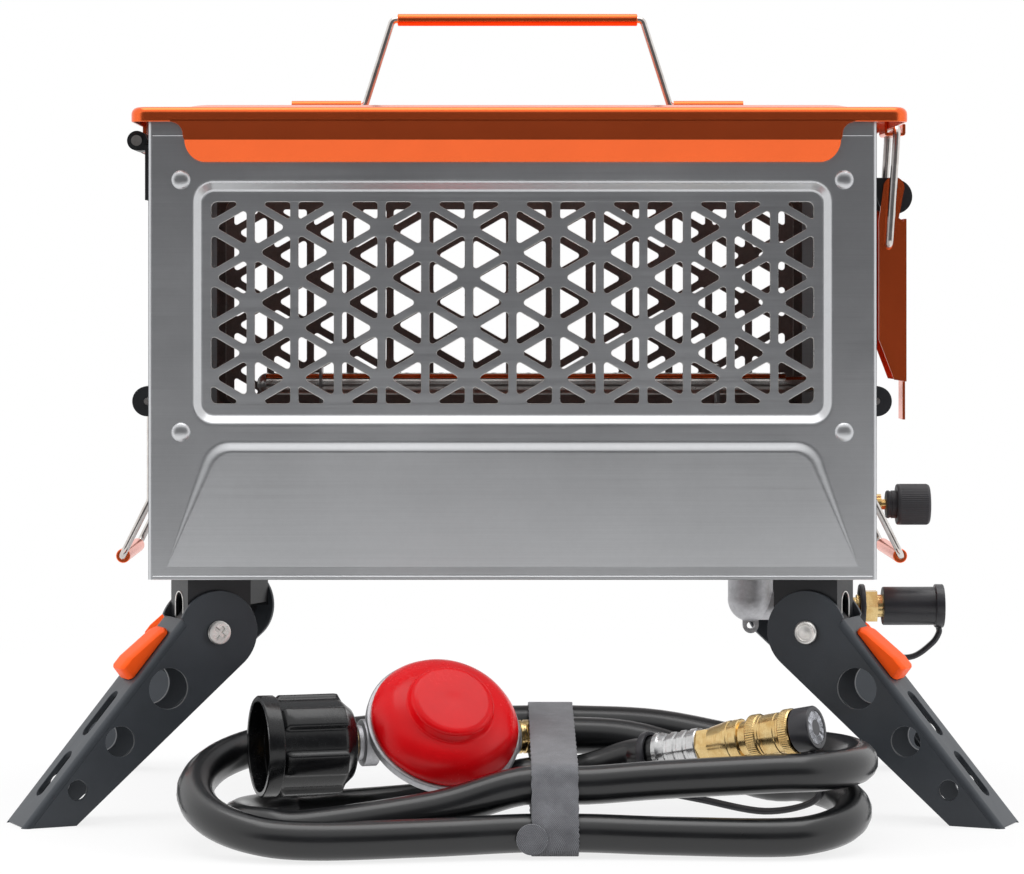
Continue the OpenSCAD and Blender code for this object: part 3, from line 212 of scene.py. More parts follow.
def brushed(name, base, rough, grain=(6, 900, 900), stain=0.12):
    """Sheet steel with its grain along X, cloudy patches and a fine scatter in its gloss."""
    f = Finish(name, Metallic=1.0)
    lines = f.noise(1, 5, 0.7, f.stretched(*grain))
    cloud = f.noise(9, 5, 0.6)
    specks = f.noise(260, 3, 0.6)
    shade = (lines - 0.5) * 0.35 + (cloud - 0.5) * stain * 4 + (specks - 0.5) * 0.12
    dark, light = around(base, stain)
    return f.set(
        bump=lines, depth=0.00006, strength=0.35,
        Base_Color=shade.ramp(-0.35, 0.35).blend(dark, light),
        Roughness=(lines - 0.5) * 0.18 + (cloud - 0.5) * 0.16 + rough,
    )


def coated(name, base, rough, peel, depth=0.00006, metal=0.0, wear=0.1, gloss=0.5, grain=1.0):
    """Powder coat or satin paint: fine peel and faint blotches, as strong as grain says."""
    f = Finish(name, Metallic=metal, Specular_IOR_Level=gloss)
    skin = f.noise(peel, 3, 0.6)
    blotch = f.noise(30, 4, 0.6)
    dark, light = around(base, wear)
    tone = (blotch - 0.5) * 1.6 + (skin - 0.5) * 0.8 * grain + 0.5
    return f.set(
        bump=skin, depth=depth, strength=0.5,
        Base_Color=tone.ramp(0, 1).blend(dark, light),
        Roughness=(blotch - 0.5) * 0.2 * grain + (skin - 0.5) * 0.2 * grain + rough,
    )


def turned(name, base, rough, stain):
    """Machined metal: fine turning marks, tarnish in soft clouds."""
    f = Finish(name, Metallic=1.0)
    marks = f.noise(1, 3, 0.7, f.stretched(2200, 300, 300))
    cloud = f.noise(120, 5, 0.65)
    return f.set(
        bump=marks, depth=0.00005, strength=0.4,
        Base_Color=((cloud - 0.45) * 1.7 + (marks - 0.5) * 0.5 + 0.4).ramp(0, 1).blend(stain, base),
        Roughness=(cloud - 0.5) * 0.3 + (marks - 0.5) * 0.15 + rough,
    )


def cast(name, base, rough=0.5):
    """Die-cast zinc: lumpy skin with pits."""
    f = Finish(name, Metallic=0.85)
    lumps = f.noise(380, 5, 0.65)
    cloud = f.noise(70, 4, 0.6)
    dark = tuple(c * 0.62 for c in base)
    return f.set(
        bump=lumps, depth=0.00025, strength=0.6,
        Base_Color=((cloud - 0.5) * 1.5 + (lumps - 0.5) * 1.2 + 0.55).ramp(0, 1).blend(dark, base),
        Roughness=(lumps - 0.5) * 0.35 + rough,
    )


def rubber(name, base, rough, dust):
    """Moulded rubber or plastic: soft mottling and a little dust."""
    f = Finish(name)
    skin = f.noise(520, 4, 0.6)
    cloud = f.noise(45, 5, 0.65)
    light = tuple(c * (1 + dust) + 0.004 * dust for c in base)
    return f.set(
        bump=skin, depth=0.00008, strength=0.45,
        Base_Color=((cloud - 0.5) * 1.8 + (skin - 0.5) * 0.5 + 0.45).ramp(0, 1).blend(base, light),
        Roughness=(cloud - 0.5) * 0.3 + (skin - 0.5) * 0.2 + rough,
    )


STEEL = brushed("satin_steel", (0.65, 0.66, 0.675), 0.34)
# Bright steel: the real finish of the bolt heads and screws; on the lattice rims and the bracket
# slot rims it is a painted highlight
BRIGHT_STEEL_AND_HIGHLIGHT = brushed("bright_steel_and_painted_highlight", (0.86, 0.84, 0.81), 0.3, (300, 300, 300), 0.08)
# Inner faces of the panels: a darker steel, painted shade for the inside of the box
INNER_SHADE_STEEL = coated("painted_shade_inner_steel", srgb(150, 138, 134), 0.45, 700, metal=0.3, wear=0.25)
TRAY = brushed("fire_box_steel", (0.40, 0.38, 0.38), 0.35, (6, 500, 500), 0.25)
POLISHED = brushed("polished_tube", (0.80, 0.78, 0.75), 0.12, (4, 600, 600), 0.1)
ORANGE = coated("orange_coat", (0.92, 0.150, 0.038), 0.2, 700, 0.00001, 0.9, 0.04, grain=0.25)
ORANGE_PLASTIC = coated(
    "orange_button", srgb(247, 86, 16), 0.45, 1500, 0.00002, 0, 0.04, gloss=0.2, grain=0.4
)
CHARCOAL = coated("charcoal_coat", srgb(56, 60, 65), 0.42, 1400, 0.00006, 0.2, 0.14, grain=0.6)
BLACK_METAL = coated("black_coat", srgb(28, 29, 32), 0.4, 1400, 0.00007, 0.1, 0.25)
PLATED = turned("plated_wire", (0.80, 0.77, 0.74), 0.16, (0.55, 0.50, 0.47))
BRASS = turned("brass", srgb(238, 212, 156), 0.22, srgb(204, 166, 104))
ZINC = cast("die_cast_zinc", (0.58, 0.58, 0.60))
CRIMP = turned("crimped_steel", (0.74, 0.74, 0.74), 0.22, (0.50, 0.50, 0.50))
RED = coated("red_gloss", srgb(214, 6, 16), 0.26, 500, 0.00002, 0.0, 0.08, gloss=0.25, grain=0.4)
BLACK_PLASTIC = rubber("black_plastic", srgb(6, 7, 9), 0.24, 0.4)
KNOB_BLACK = rubber("knob_black", srgb(44, 43, 46), 0.5, 0.4)
BLACK_RUBBER = rubber("black_rubber", srgb(38, 38, 42), 0.36, 0.4)
PLUG_GREY = rubber("plug_face", srgb(196, 198, 205), 0.5, 0.2)


def hose_finish():
    """Smooth hose rubber with faint scuffs."""
    f = Finish("hose_rubber", Coat_Weight=0.35, Coat_Roughness=0.14)
    skin = f.noise(700, 3, 0.6)
    cloud = f.noise(28, 5, 0.6)
    scuff = f.noise(1, 4, 0.7, f.stretched(30, 240, 240)).ramp(0.62, 0.78)
    tone = (cloud * 0.6 + scuff * 0.4).ramp(0.1, 0.9)
    return f.set(
        bump=skin, depth=0.0001, strength=0.35,
        Base_Color=tone.blend(srgb(5, 6, 8), srgb(22, 23, 27)),
        Roughness=(cloud - 0.5) * 0.25 + scuff * 0.15 + 0.32,
    )


HOSE = hose_finish()


def strap_finish():
    """Woven webbing: ribs across the strap, with the weave's checks in the bump."""
    f = Finish("woven_strap", Sheen_Weight=0.3, Sheen_Roughness=0.5)
    across = f.field.calc("SINE", f.axis("X") * 6500)
    down = f.field.calc("SINE", (f.axis("Y") * 0.55 + f.axis("Z") * 0.83) * 5200)
    fuzz = f.noise(1500, 3, 0.7)
    cloud = f.noise(90, 4, 0.6)
    weave = across * down * 0.5 + fuzz * 0.8
    tone = (weave * 0.35 + cloud * 0.6).ramp(0.1, 0.9)
    return f.set(
        bump=weave, depth=0.00025, strength=0.7,
        Base_Color=tone.blend(srgb(68, 69, 73), srgb(132, 133, 138)),
        Roughness=cloud * 0.2 + 0.65,
    )


STRAP = strap_finish()


# Shapes, in millimetres
def smooth(t):
    """Ease from 0 to 1."""
    t = max(0, min(1, t))
    return t * t * (3 - 2 * t)


def arc(r, first, last, steps):
    """Points round the origin between two angles in degrees."""
    angles = (radians(first + (last - first) * k / steps) for k in range(steps + 1))
    return [(r * cos(a), r * sin(a)) for a in angles]


def along(origin, direction, side=None):
    """Matrix whose z runs along direction from origin."""
    z = Vector(direction).normalized()
    side = Vector(side) if side else Vector((0, 0, 1) if abs(z.z) < 0.9 else (1, 0, 0))
    x = (side - side.dot(z) * z).normalized()
    y = z.cross(x)
    m = Matrix((x, y, z)).transposed().to_4x4()
    m.translation = Vector(origin)
    return m


def move(x, y, z):
    return Matrix.Translation((x, y, z))


def turn(degrees, axis):
    return Matrix.Rotation(radians(degrees), 4, axis)


STAND = turn(90, "X")
BOTH = (True, True)


def rounded(corners, radii, steps):
    """Closed outline with each corner rounded to its radius, always the same number of points."""
    out = []
    n = len(corners)
    radii = radii if hasattr(radii, "__len__") else [radii] * n
    for i, r in enumerate(radii):
        p, q, s = (Vector(corners[(i + k) % n]) for k in (-1, 0, 1))
        a, b = (p - q).normalized(), (s - q).normalized()
        half = a.angle(b) / 2
        reach = r / tan(half)
        centre = q + (a + b).normalized() * r / sin(half)
        start, end = q + a * reach - centre, q + b * reach - centre
        sweep = start.angle(end) if r > 1e-6 else 0
        for k in range(steps + 1):
            t = k / steps
            if sweep < 1e-6:
                out.append(q.copy())
            else:
                w0, w1 = sin((1 - t) * sweep), sin(t * sweep)
                out.append(centre + (start * w0 + end * w1) / sin(sweep))
    return out


def rect(w, h, r, cx, cy, steps):
    x, y = w / 2, h / 2
    corners = [(cx - x, cy - y), (cx + x, cy - y), (cx + x, cy + y), (cx - x, cy + y)]
    return rounded(corners, r, steps)


def circle(cx, cy, r, steps=40):
    angles = (2 * pi * k / steps for k in range(steps))
    return [Vector((cx + r * cos(a), cy + r * sin(a))) for a in angles]


class Piece:
    """One shown piece: parts are added in millimetres, each with one of its finishes."""

    def __init__(self):
        self.verts, self.faces, self.marks = [], [], []

    def add(self, verts, faces, place=None, mark=0):
        base = len(self.verts)
        place = place or Matrix()
        self.verts += [place @ Vector(v) for v in verts]
        self.faces += [[base + i for i in f] for f in faces]
        self.marks += mark if hasattr(mark, "__len__") else [mark] * len(faces)
        return self

    def loft(self, rings, place=None, mark=0, cap=(False, False), closed=False):
        """Quads between loops of equal length; cap closes the first and the last, or BOTH."""
        n = len(rings[0])
        verts = [v for ring in rings for v in ring]
        pairs = len(rings) if closed else len(rings) - 1
        faces = []
        for i in range(pairs):
            a, b = i * n, ((i + 1) % len(rings)) * n
            faces += [[a + k, a + (k + 1) % n, b + (k + 1) % n, b + k] for k in range(n)]
        if cap[0]:
            faces.append(list(range(n))[::-1])
        if cap[1]:
            faces.append([(len(rings) - 1) * n + k for k in range(n)])
        return self.add(verts, faces, place, mark)

    def lathe(self, profile, place, steps=64, mark=0, shape=None):
        """profile is (height, radius) pairs; shape may change a radius by its height and angle."""
        rings = []
        for z, r in profile:
            ring = []
            for k in range(steps):
                a = 2 * pi * k / steps
                q = shape(z, a, r) if shape else r
                ring.append((q * cos(a), q * sin(a), z))
            rings.append(ring)
        return self.loft(rings, place, mark, (profile[0][1] > 1e-6, profile[-1][1] > 1e-6))

    def plate(self, outline, holes, thick, place, edge=0.3, face=0, rim=0, back=None):
        """Flat sheet in XY, its front towards +Z and its middle on z = 0, with softened edges."""
        curve = bpy.data.curves.new("outline", "CURVE")
        curve.dimensions = "2D"
        curve.fill_mode = "BOTH"
        curve.extrude = thick / 2 - edge
        curve.bevel_depth = edge
        curve.bevel_resolution = 1
        curve.offset = -edge
        for loop in [outline, *holes]:
            spline = curve.splines.new("POLY")
            spline.points.add(len(loop) - 1)
            spline.points.foreach_set("co", [c for p in loop for c in (*p, 0, 1)])
            spline.use_cyclic_u = True
        carrier = bpy.data.objects.new("outline", curve)
        mesh = bpy.data.meshes.new_from_object(carrier)
        back = face if back is None else back
        marks = []
        for p in mesh.polygons:
            marks.append(face if p.normal.z > 0.95 else back if p.normal.z < -0.95 else rim)
        verts, faces = [v.co for v in mesh.vertices], [list(p.vertices) for p in mesh.polygons]
        self.add(verts, faces, place, marks)
        bpy.data.objects.remove(carrier)
        bpy.data.curves.remove(curve)
        bpy.data.meshes.remove(mesh)
        return self

    def finish(self, name, finishes, slot, body, *nodes, sharp=40, bevel=0, segments=3, solidify=0):
        """Show it, welded, on its body, in place of the CAD nodes; slot is not used."""
        mesh = bpy.data.meshes.new(name)
        mesh.from_pydata([v * MM for v in self.verts], [], self.faces)
        for finish in finishes if isinstance(finishes, (list, tuple)) else [finishes]:
            mesh.materials.append(finish)
        mesh.polygons.foreach_set("material_index", self.marks)
        welded = bmesh.new()
        welded.from_mesh(mesh)
        bmesh.ops.remove_doubles(welded, verts=welded.verts, dist=1e-6)
        bmesh.ops.recalc_face_normals(welded, faces=welded.faces)
        welded.to_mesh(mesh)
        welded.free()
        mesh.polygons.foreach_set("use_smooth", [True] * len(mesh.polygons))
        mesh.set_sharp_from_angle(angle=radians(sharp))
        thing = bpy.data.objects.new(name, mesh)
        link(thing)
        if solidify:
            made = thing.modifiers.new("thickness", "SOLIDIFY")
            made.thickness, made.offset = solidify * MM, -1
        if bevel:
            soften(thing, bevel, segments)
        flat = thing.modifiers.new("flat_faces", "WEIGHTED_NORMAL")
        flat.keep_sharp = True
        settle(thing, slot, body, *nodes)


def soften(thing, width, segments):
    """Round the edges."""
    made = thing.modifiers.new("soft_edges", "BEVEL")
    made.width, made.segments = width * MM, segments
    made.limit_method, made.angle_limit = "ANGLE", radians(35)
    made.use_clamp_overlap = True
    made.harden_normals = True


def settle(thing, slot, body, *nodes):
    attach(thing, body)
    if nodes:
        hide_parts(*nodes)


def bent(points, bend, steps=8):
    """Polyline through points with its corners rounded to one radius."""
    out = [Vector(points[0])]
    for a, b, c in zip(points, points[1:], points[2:]):
        a, b, c = Vector(a), Vector(b), Vector(c)
        d0, d1 = (a - b).normalized(), (c - b).normalized()
        half = d0.angle(d1) / 2
        centre = b + (d0 + d1).normalized() * bend / sin(half)
        start = b + d0 * bend / tan(half) - centre
        end = b + d1 * bend / tan(half) - centre
        out += [centre + start.slerp(end, k / steps).normalized() * bend for k in range(steps + 1)]
    return out + [Vector(points[-1])]


def flowing(points, steps):
    """Catmull-Rom line through points."""
    p = [Vector(q) for q in points]
    out = []
    for i in range(len(p) - 1):
        a, b, c, d = (p[max(0, min(len(p) - 1, i + k))] for k in (-1, 0, 1, 2))
        for k in range(steps):
            t = k / steps
            out.append(0.5 * (
                2 * b + (c - a) * t + (2 * a - 5 * b + 4 * c - d) * t * t
                + (3 * b - a - 3 * c + d) * t ** 3
            ))
    return out + [p[-1]]


def strand(name, line, r, finish, slot, body, *nodes):
    """Round wire or hose along a line, as one open curve."""
    curve = bpy.data.curves.new(name, "CURVE")
    curve.dimensions = "3D"
    curve.bevel_depth = r * MM
    curve.bevel_resolution = 6
    curve.use_fill_caps = True
    spline = curve.splines.new("POLY")
    spline.points.add(len(line) - 1)
    spline.points.foreach_set("co", [c for p in line for c in (*(Vector(p) * MM), 1)])
    spline.use_smooth = True
    curve.materials.append(finish)
    thing = bpy.data.objects.new(name, curve)
    link(thing)
    settle(thing, slot, body, *nodes)
    return thing


# Hose: the same route as in the source
def end_arc(x, y, r, side, z0, z1):
    """Half turn at one end of the hank, 1 for the right, between two heights."""
    out = []
    for i in range(7):
        a = radians(side * (90 - 30 * i))
        rise = (1 - cos(pi * i / 6)) / 2
        out.append((x + side * r * cos(a), y + r * sin(a), z0 + (z1 - z0) * rise))
    return out


def hose_route():
    start = PORT + OUTLET * PORT_DIR
    return [
        start, start + 10 * PORT_DIR, start + 20 * PORT_DIR, (70, -131, 46),
        *end_arc(131, -194, 46, 1, 28, 10.6),
        (75, -236, 11), (STRAP_X + 17, -234, 12), (STRAP_X - 17, -234, 12), (-45, -243, 11),
        *end_arc(-104, -188.5, 63, -1, 10.6, 47),
        (-40, -112, 52), (STRAP_X - 15, -107, 53), (STRAP_X + 15, -107, 53), (80, -110, 51),
        *end_arc(132, -177.5, 50, 1, 43, 41.5),
        (75, -224, 38), (STRAP_X + 17, -222, 35), (STRAP_X - 17, -222, 34.5), (-40, -220, 22),
        *end_arc(-105, -178, 40, -1, 12, 10.6),
        (-35, -148, 18), (STRAP_X - 15, -151, 29.8), (STRAP_X + 15, -148, 31.2),
        COUPLER - 20 * COUPLER_DIR, COUPLER - 10 * COUPLER_DIR, COUPLER,
    ]


hose_line = flowing(hose_route(), 6)
hose = strand("gas_hose", hose_line, HOSE_R - 0.05, HOSE, "black_rubber", "hose_set", "hose")
hose_length = sum((b - a).length for a, b in zip(hose_line, hose_line[1:])) * MM


# Panels
def lattice_cells():
    """Openings of the triangle lattice, round its middle."""
    h = CELL * sqrt(3) / 2
    inset, third = BAR / 2, h / 3
    shrink = (third - inset) / third
    slant = inset / cos(radians(30))
    slope = tan(radians(30))
    top = 2 * CELL
    cells = []
    for c in range(COLUMNS):
        left = (c - COLUMNS / 2) * h
        for edge in (0, 1):
            odd = (c + COLUMNS // 2 + edge) % 2
            way = 1 - 2 * edge
            x = left + edge * h
            for j in range(4 - odd):
                z = -top + (j + odd / 2) * CELL
                mid = Vector((x + way * third, z + CELL / 2))
                corners = [(x, z), (x + way * h, z + CELL / 2), (x, z + CELL)]
                cells.append(rounded([mid + shrink * (Vector(p) - mid) for p in corners], 1.7, 4))
            if odd:
                for end in (-1, 1):
                    near = (x + way * inset, end * top)
                    far = (x + way * (CELL / 2 - slant) / slope, end * top)
                    low = (x + way * inset, end * (top - CELL / 2 + inset * slope + slant))
                    outer = abs(x) > 6.5 * h
                    cells.append(rounded([near, far, low], [3.2 if outer else 1.6, 1.2, 1.2], 4))
    return cells


def panel(name, place):
    """Pressed panel: sheet with rolled sides and window edge, lattice, swelling foot, band, hem."""
    base = [(-190, FOOT_LOW), (190, FOOT_LOW), (167, FOOT_HIGH), (-167, FOOT_HIGH)]
    foot_top = FOOT_HIGH - FOOT_EDGE
    face = [(-189.6, FOOT_LOW), (189.6, FOOT_LOW), (161, foot_top), (-161, foot_top)]
    flat = BODY_W / 2 - SIDE_ROLL
    made = Piece()
    window = rect(WINDOW_W, WINDOW_H, WINDOW_R, 0, WINDOW_Z, 10)
    foot = rounded(base, [0.6, 0.6, FOOT_R, FOOT_R], 10)
    made.plate(
        rect(2 * flat, BODY_H, 0.1, 0, BODY_Z + BODY_H / 2, 2), [window, foot], SHEET,
        place @ move(0, 0, SHEET / 2), 0.02, 0, 0, 2,
    )
    for s in (-1, 1):
        bend = arc(SIDE_ROLL, 0, 90, 10)
        section = [(s * (flat + x), SHEET - SIDE_ROLL + y) for y, x in bend] + [
            (s * (BODY_W / 2 - SHEET), SHEET - SIDE_ROLL),
            (s * (flat - 0.5), 0.01), (s * (flat - 0.5), SHEET - 0.2),
        ]
        rings = [[(x, z, y) for x, y in section] for z in (BODY_Z, BODY_TOP)]
        made.loft(rings, place, 0, BOTH)
    roll = [
        (-0.9, 0.02), (-0.3, 0.0), (0.5, -0.12), (1.3, -0.5),
        (4.5, -3.5), (5.2, -3.84), (5.8, -3.95), (6.4, -4.1),
    ]
    for back, mark in ((0, 0), (-SHEET, 2)):
        rings = []
        for inset, z in roll:
            wide, tall, r = WINDOW_W - 2 * inset, WINDOW_H - 2 * inset, max(WINDOW_R - inset, 1)
            loop = rect(wide, tall, r, 0, WINDOW_Z, 10)
            rings.append([(*p, SHEET + z + back) for p in loop])
        made.loft(rings if back else rings[::-1], place, mark)
    cells = [[p + Vector((0, WINDOW_Z)) for p in cell] for cell in lattice_cells()]
    # The lattice rims (mark 1) take the bright steel, a painted highlight along the bars' edges
    made.plate(
        rect(WINDOW_W - 10, WINDOW_H - 10, 7, 0, WINDOW_Z, 6), cells, SHEET,
        place @ move(0, 0, SHEET / 2 - WINDOW_DEPTH), 0.3, 0, 1, 2,
    )
    rings = []
    for q in (-0.08, 0, 0.1, 0.22, 0.4, 0.6, 0.78, 0.9, 1, 1.1):
        swell = smooth(q) * FOOT_OUT
        corners = [Vector(a) + (Vector(b) - Vector(a)) * q for a, b in zip(base, face)]
        ring = []
        for x, z in rounded(corners, [0.6, 0.6, FOOT_R - 4 * q, FOOT_R - 4 * q], 10):
            out = swell * max(0, z - FOOT_LOW) / (foot_top - FOOT_LOW)
            ring.append((x, z, SHEET + 0.03 + out))
        rings.append(ring)
    made.loft(rings, place, 0, (False, True))
    made.loft([[(*p, z) for p in foot] for z in (0.02, 0)], place, 2, BOTH)
    hem = [(-0.2, 0), (0.6, 0), (0.8, 0.3), (0.8, 1.8), (0.5, 2.2), (-0.2, 2.3)]
    band = [(-0.2, 243.4), (0.3, 243.5), (0.5, 243.8), (0.5, 257.1), (-0.2, 257.3)]
    for section in (hem, band):
        rings = [[(x, BODY_Z + z, SHEET + y) for y, z in section] for x in (-flat, flat)]
        made.loft(rings, place, 0, BOTH)
    node = name.replace("_pressed", "")
    # The panels' inner faces (mark 2) take the darker steel, painted shade for the inside of the
    # box
    made.finish(name, [STEEL, BRIGHT_STEEL_AND_HIGHLIGHT, INNER_SHADE_STEEL], "steel", "body", node, sharp=30)


FRONT = move(0, -BODY_D / 2 + SHEET, 0) @ STAND
panel("front_panel_pressed", FRONT)
panel("rear_panel_pressed", turn(180, "Z") @ FRONT)

rivets = Piece()
for spin in (0, 180):
    for x in (-RIVET_X, RIVET_X):
        for z in RIVET_ROWS:
            rivets.lathe([
                (-4, 2.3), (0, 2.4), (0, 5.3), (0.3, 5.25), (0.9, 4.8),
                (1.5, 3.9), (1.9, 2.7), (2.1, 1.4), (2.15, 0),
            ], turn(spin, "Z") @ move(x, -BODY_D / 2, z) @ STAND, 32)
rivets.finish("rivet_heads", STEEL, "steel", "body", "panel_rivets", sharp=50)


# Lid
def lid_shell():
    """Pressed lid with a rolled rim, a raised middle, hinge hooks and the latch's hook."""
    made = Piece()
    mid, edge = LID_FLAT, LID_EDGE
    lip = (1.5, LID_RIM, 8.5)
    top = [lip, (0.9, LID_RIM - 0.05, 9.1), (0.3, LID_RIM + 0.1, 9.7), (0, LID_RIM + 0.6, 10)]
    top += [(edge - x, LID_TOP - edge + z, 6 + x) for x, z in arc(edge, 0, 90, 7)] + [
        (5, LID_TOP, 6), (mid - 1, LID_TOP, 19), (mid, LID_TOP + 0.05, 20),
        (mid + 1.2, LID_TOP + 0.25, 19), (mid + 12.8, PLATEAU - 0.25, 9.5),
        (mid + 14, PLATEAU - 0.05, 8.6), (mid + 15, PLATEAU, 8),
    ]
    under = [
        lip, (1.5, LID_UNDER - 2.5, 8.5), (2.2, LID_UNDER - 0.7, 7.8), (edge, LID_UNDER, 6),
        (mid, LID_UNDER, 20), (mid + 14, PLATEAU - LID_T, 8),
    ]
    for rows, flip in ((top, False), (under, True)):
        rings = []
        for inset, z, r in rows:
            loop = rect(LID_W - 2 * inset, LID_D - 2 * inset, r, LID_X, 0, 10)
            rings.append([(*p, z) for p in loop])
        made.loft(rings[::-1] if flip else rings, None, 0, (flip, not flip))
    for from_y in (-44.85, 15.15):
        made.lathe(
            [(0, 2.1), (0, 4.7), (0.3, 5), (KNUCKLE - 0.3, 5), (KNUCKLE, 4.7), (KNUCKLE, 2.1)],
            along((HINGE_X, from_y, HINGE_Z), (0, 1, 0), (0, 0, 1)), 40,
        )
        leaf = [(-208, 0), (-206, 0), (-206, KNUCKLE), (-208, KNUCKLE)]
        rings = [[(x, from_y + y, z) for x, y in leaf] for z in (HINGE_Z, LID_UNDER)]
        made.loft(rings, None, 0, BOTH)
    inner, t = 215.5, 1.8
    seat, tip = BAIL_BAR[1] - BAIL_R - 0.3, BAIL_BAR[0] + BAIL_R + 2
    made.plate(
        rounded([
            (inner, LID_UNDER), (inner - t, LID_UNDER), (inner - t, seat - t), (tip + t, seat - t),
            (tip + t, seat + 5), (tip, seat + 5), (tip, seat), (inner, seat),
        ], [0.1, 0.1, 1.6, 1.6, 0.6, 0.6, 0.3, 0.3], 3), [], 28, STAND, 0.3,
    )
    made.finish("lid_shell", ORANGE, "orange", "lid", "lid", sharp=32)


lid_shell()


def lid_apron(name, spin):
    """Front or rear flap of the lid: a hollow upper band, a crease and a flat lower band."""
    half, fillet = 180.5, 7
    crease, low, out = LID_RIM - 10, LID_RIM - 22, -LID_D / 2
    rows = []
    for k in range(13):
        u = k / 12
        z = LID_RIM + 1 - 11 * u
        drop = max(0, LID_RIM - z)
        if drop < fillet:
            x = half + fillet - sqrt(fillet ** 2 - (fillet - drop) ** 2)
        else:
            x = half - 0.9 * ((drop - fillet) / 3) ** 2
        lean = min(1, drop / 10)
        rows.append((x, out - 0.8 * lean - 0.4 * (1 - (1 - lean) ** 2), z))
    for k in range(1, 15):
        a = pi / 2 * k / 14
        x, fall = half - 0.9 - 11 * (1 - cos(a)), sin(a)
        rows.append((x, out - 1.2 + 4.4 * fall, crease - (crease - low) * fall))
    verts = [p for x, y, z in rows for p in ((-x, y, z), (x, y, z))]
    faces = [[2 * i, 2 * i + 1, 2 * i + 3, 2 * i + 2] for i in range(len(rows) - 1)]
    flap = Piece().add(verts, faces, turn(spin, "Z"))
    flap.finish(name, ORANGE, "orange", "lid", sharp=14, solidify=1.5, bevel=0.4)


lid_apron("lid_apron_front", 0)
lid_apron("lid_apron_rear", 180)

handle_top = HANDLE_Z + HANDLE_RISE
handle_line = bent([
    (LID_X - HANDLE_END, 0, HANDLE_Z), (LID_X - HANDLE_FOOT, 0, HANDLE_Z),
    (LID_X - HANDLE_TOP, 0, handle_top), (LID_X + HANDLE_TOP, 0, handle_top),
    (LID_X + HANDLE_FOOT, 0, HANDLE_Z), (LID_X + HANDLE_END, 0, HANDLE_Z),
], 3)
strand("lid_handle_wire", handle_line, WIRE_R, PLATED, "bright_wire", "lid_handle", "handle_wire")


def grip_profile(long, r, soft):
    """Sleeve round a wire, with its ends softened."""
    return [(0, 2.06), (0, r - soft), (soft, r), (long - soft, r), (long, r - soft), (long, 2.06)]


Piece().lathe(
    grip_profile(HANDLE_GRIP, 3.5, 0.4),
    along((LID_X - HANDLE_GRIP / 2, 0, handle_top), (1, 0, 0)), 40,
).finish("lid_handle_grip", ORANGE, "orange", "lid_handle", "handle_grip")

# Latch
foot_x, foot_z = BAIL_FOOT
bar_x, bar_z = BAIL_BAR
bail_line = bent([
    (foot_x, -BAIL_END, foot_z), (foot_x, -BAIL_HALF, foot_z), (bar_x, -BAIL_HALF, bar_z),
    (bar_x, BAIL_HALF, bar_z), (foot_x, BAIL_HALF, foot_z), (foot_x, BAIL_END, foot_z),
], 4)
strand(
    "latch_bail_wire", bail_line, BAIL_R + 0.2, PLATED, "bright_wire", "latch_bail", "latch_bail"
)

# Side handles
for side, spin in (("right", 0), ("left", 180)):
    out, low = SIDE_X + SIDE_KICK, SIDE_Z - SIDE_DROP
    line = bent([
        (SIDE_X, -SIDE_END, SIDE_Z), (SIDE_X, -SIDE_HALF, SIDE_Z),
        (SIDE_X, -SIDE_HALF, SIDE_Z - SIDE_BEND), (out, -SIDE_HALF, low), (out, SIDE_HALF, low),
        (SIDE_X, SIDE_HALF, SIDE_Z - SIDE_BEND), (SIDE_X, SIDE_HALF, SIDE_Z),
        (SIDE_X, SIDE_END, SIDE_Z),
    ], 6)
    line = [turn(spin, "Z") @ p for p in line]
    body = side + "_handle"
    strand(side + "_carry_wire", line, WIRE_R, PLATED, "bright_wire", body, body + "_wire")
    Piece().lathe(
        grip_profile(SIDE_GRIP, 4, 0.5),
        turn(spin, "Z") @ along((out, -SIDE_GRIP / 2, low), (0, 1, 0)), 40,
    ).finish(side + "_carry_grip", ORANGE, "orange", body, body + "_grip")


# Legs
def foot_a(b):
    """Where the floor cuts a leg, along it, at a distance b from its pivot's axis."""
    a = radians(LEG_ANGLE)
    return (LEG_Z + b * cos(a)) / sin(a)


def leg_place(side, end):
    """Pivot of a leg: x along the leg, z towards its back."""
    spin = end * LEG_PLAN if side > 0 else 180 - end * LEG_PLAN
    return move(side * LEG_X, end * LEG_Y, LEG_Z) @ turn(spin, "Z") @ turn(LEG_ANGLE, "Y")


def leg_shell(name, place):
    """Folded channel: two flanges with round openings, a slotted back and rolled bends."""
    made = Piece()
    edge = LEG_WEB - LEG_BEND
    head = []
    for a in (radians(d) for d in [*range(72, 279, 6), 279]):
        head.append(Vector((LEG_HEAD * cos(a), LEG_HEAD * sin(a))))
    flange = [Vector(p) for p in [(foot_a(-2.5), -2.5), (foot_a(edge), edge), (9, edge)]] + head
    flange = [p for p in flange if p[1] <= edge + 0.01 or p[0] < 9]
    holes = [circle(*hole) for hole in LEG_HOLES]
    for v in (-LEG_W / 2 + LEG_T / 2, LEG_W / 2 - LEG_T / 2):
        made.plate(flange, holes, LEG_T, place @ move(0, v, 0) @ STAND, 0.45)
    slots = [rect(30, 9, 4.48, a, 0, 10) for a in LEG_SLOTS]
    slots.append(rect(16, 9.6, 0.6, BUTTON_SLOT, 0, 3))
    web_half = LEG_W / 2 - LEG_BEND
    start, end, half = 7, foot_a(LEG_WEB - LEG_T / 2), web_half + 0.5
    made.plate(
        [Vector(p) for p in ((start, -half), (end, -half), (end, half), (start, half))],
        slots, LEG_T, place @ move(0, 0, LEG_WEB - LEG_T / 2), 0.45,
    )
    for s in (-1, 1):
        bend = arc(LEG_BEND, 0, 90, 8) + arc(LEG_BEND - LEG_T, 90, 0, 8)
        section = [(s * (web_half + v), edge + b) for v, b in bend]
        ends = [[(start, v, b) for v, b in section], [(foot_a(b), v, b) for v, b in section]]
        made.loft(ends, place, 0, BOTH)
    made.finish(name + "_shell", CHARCOAL, "charcoal", name, name, sharp=35)


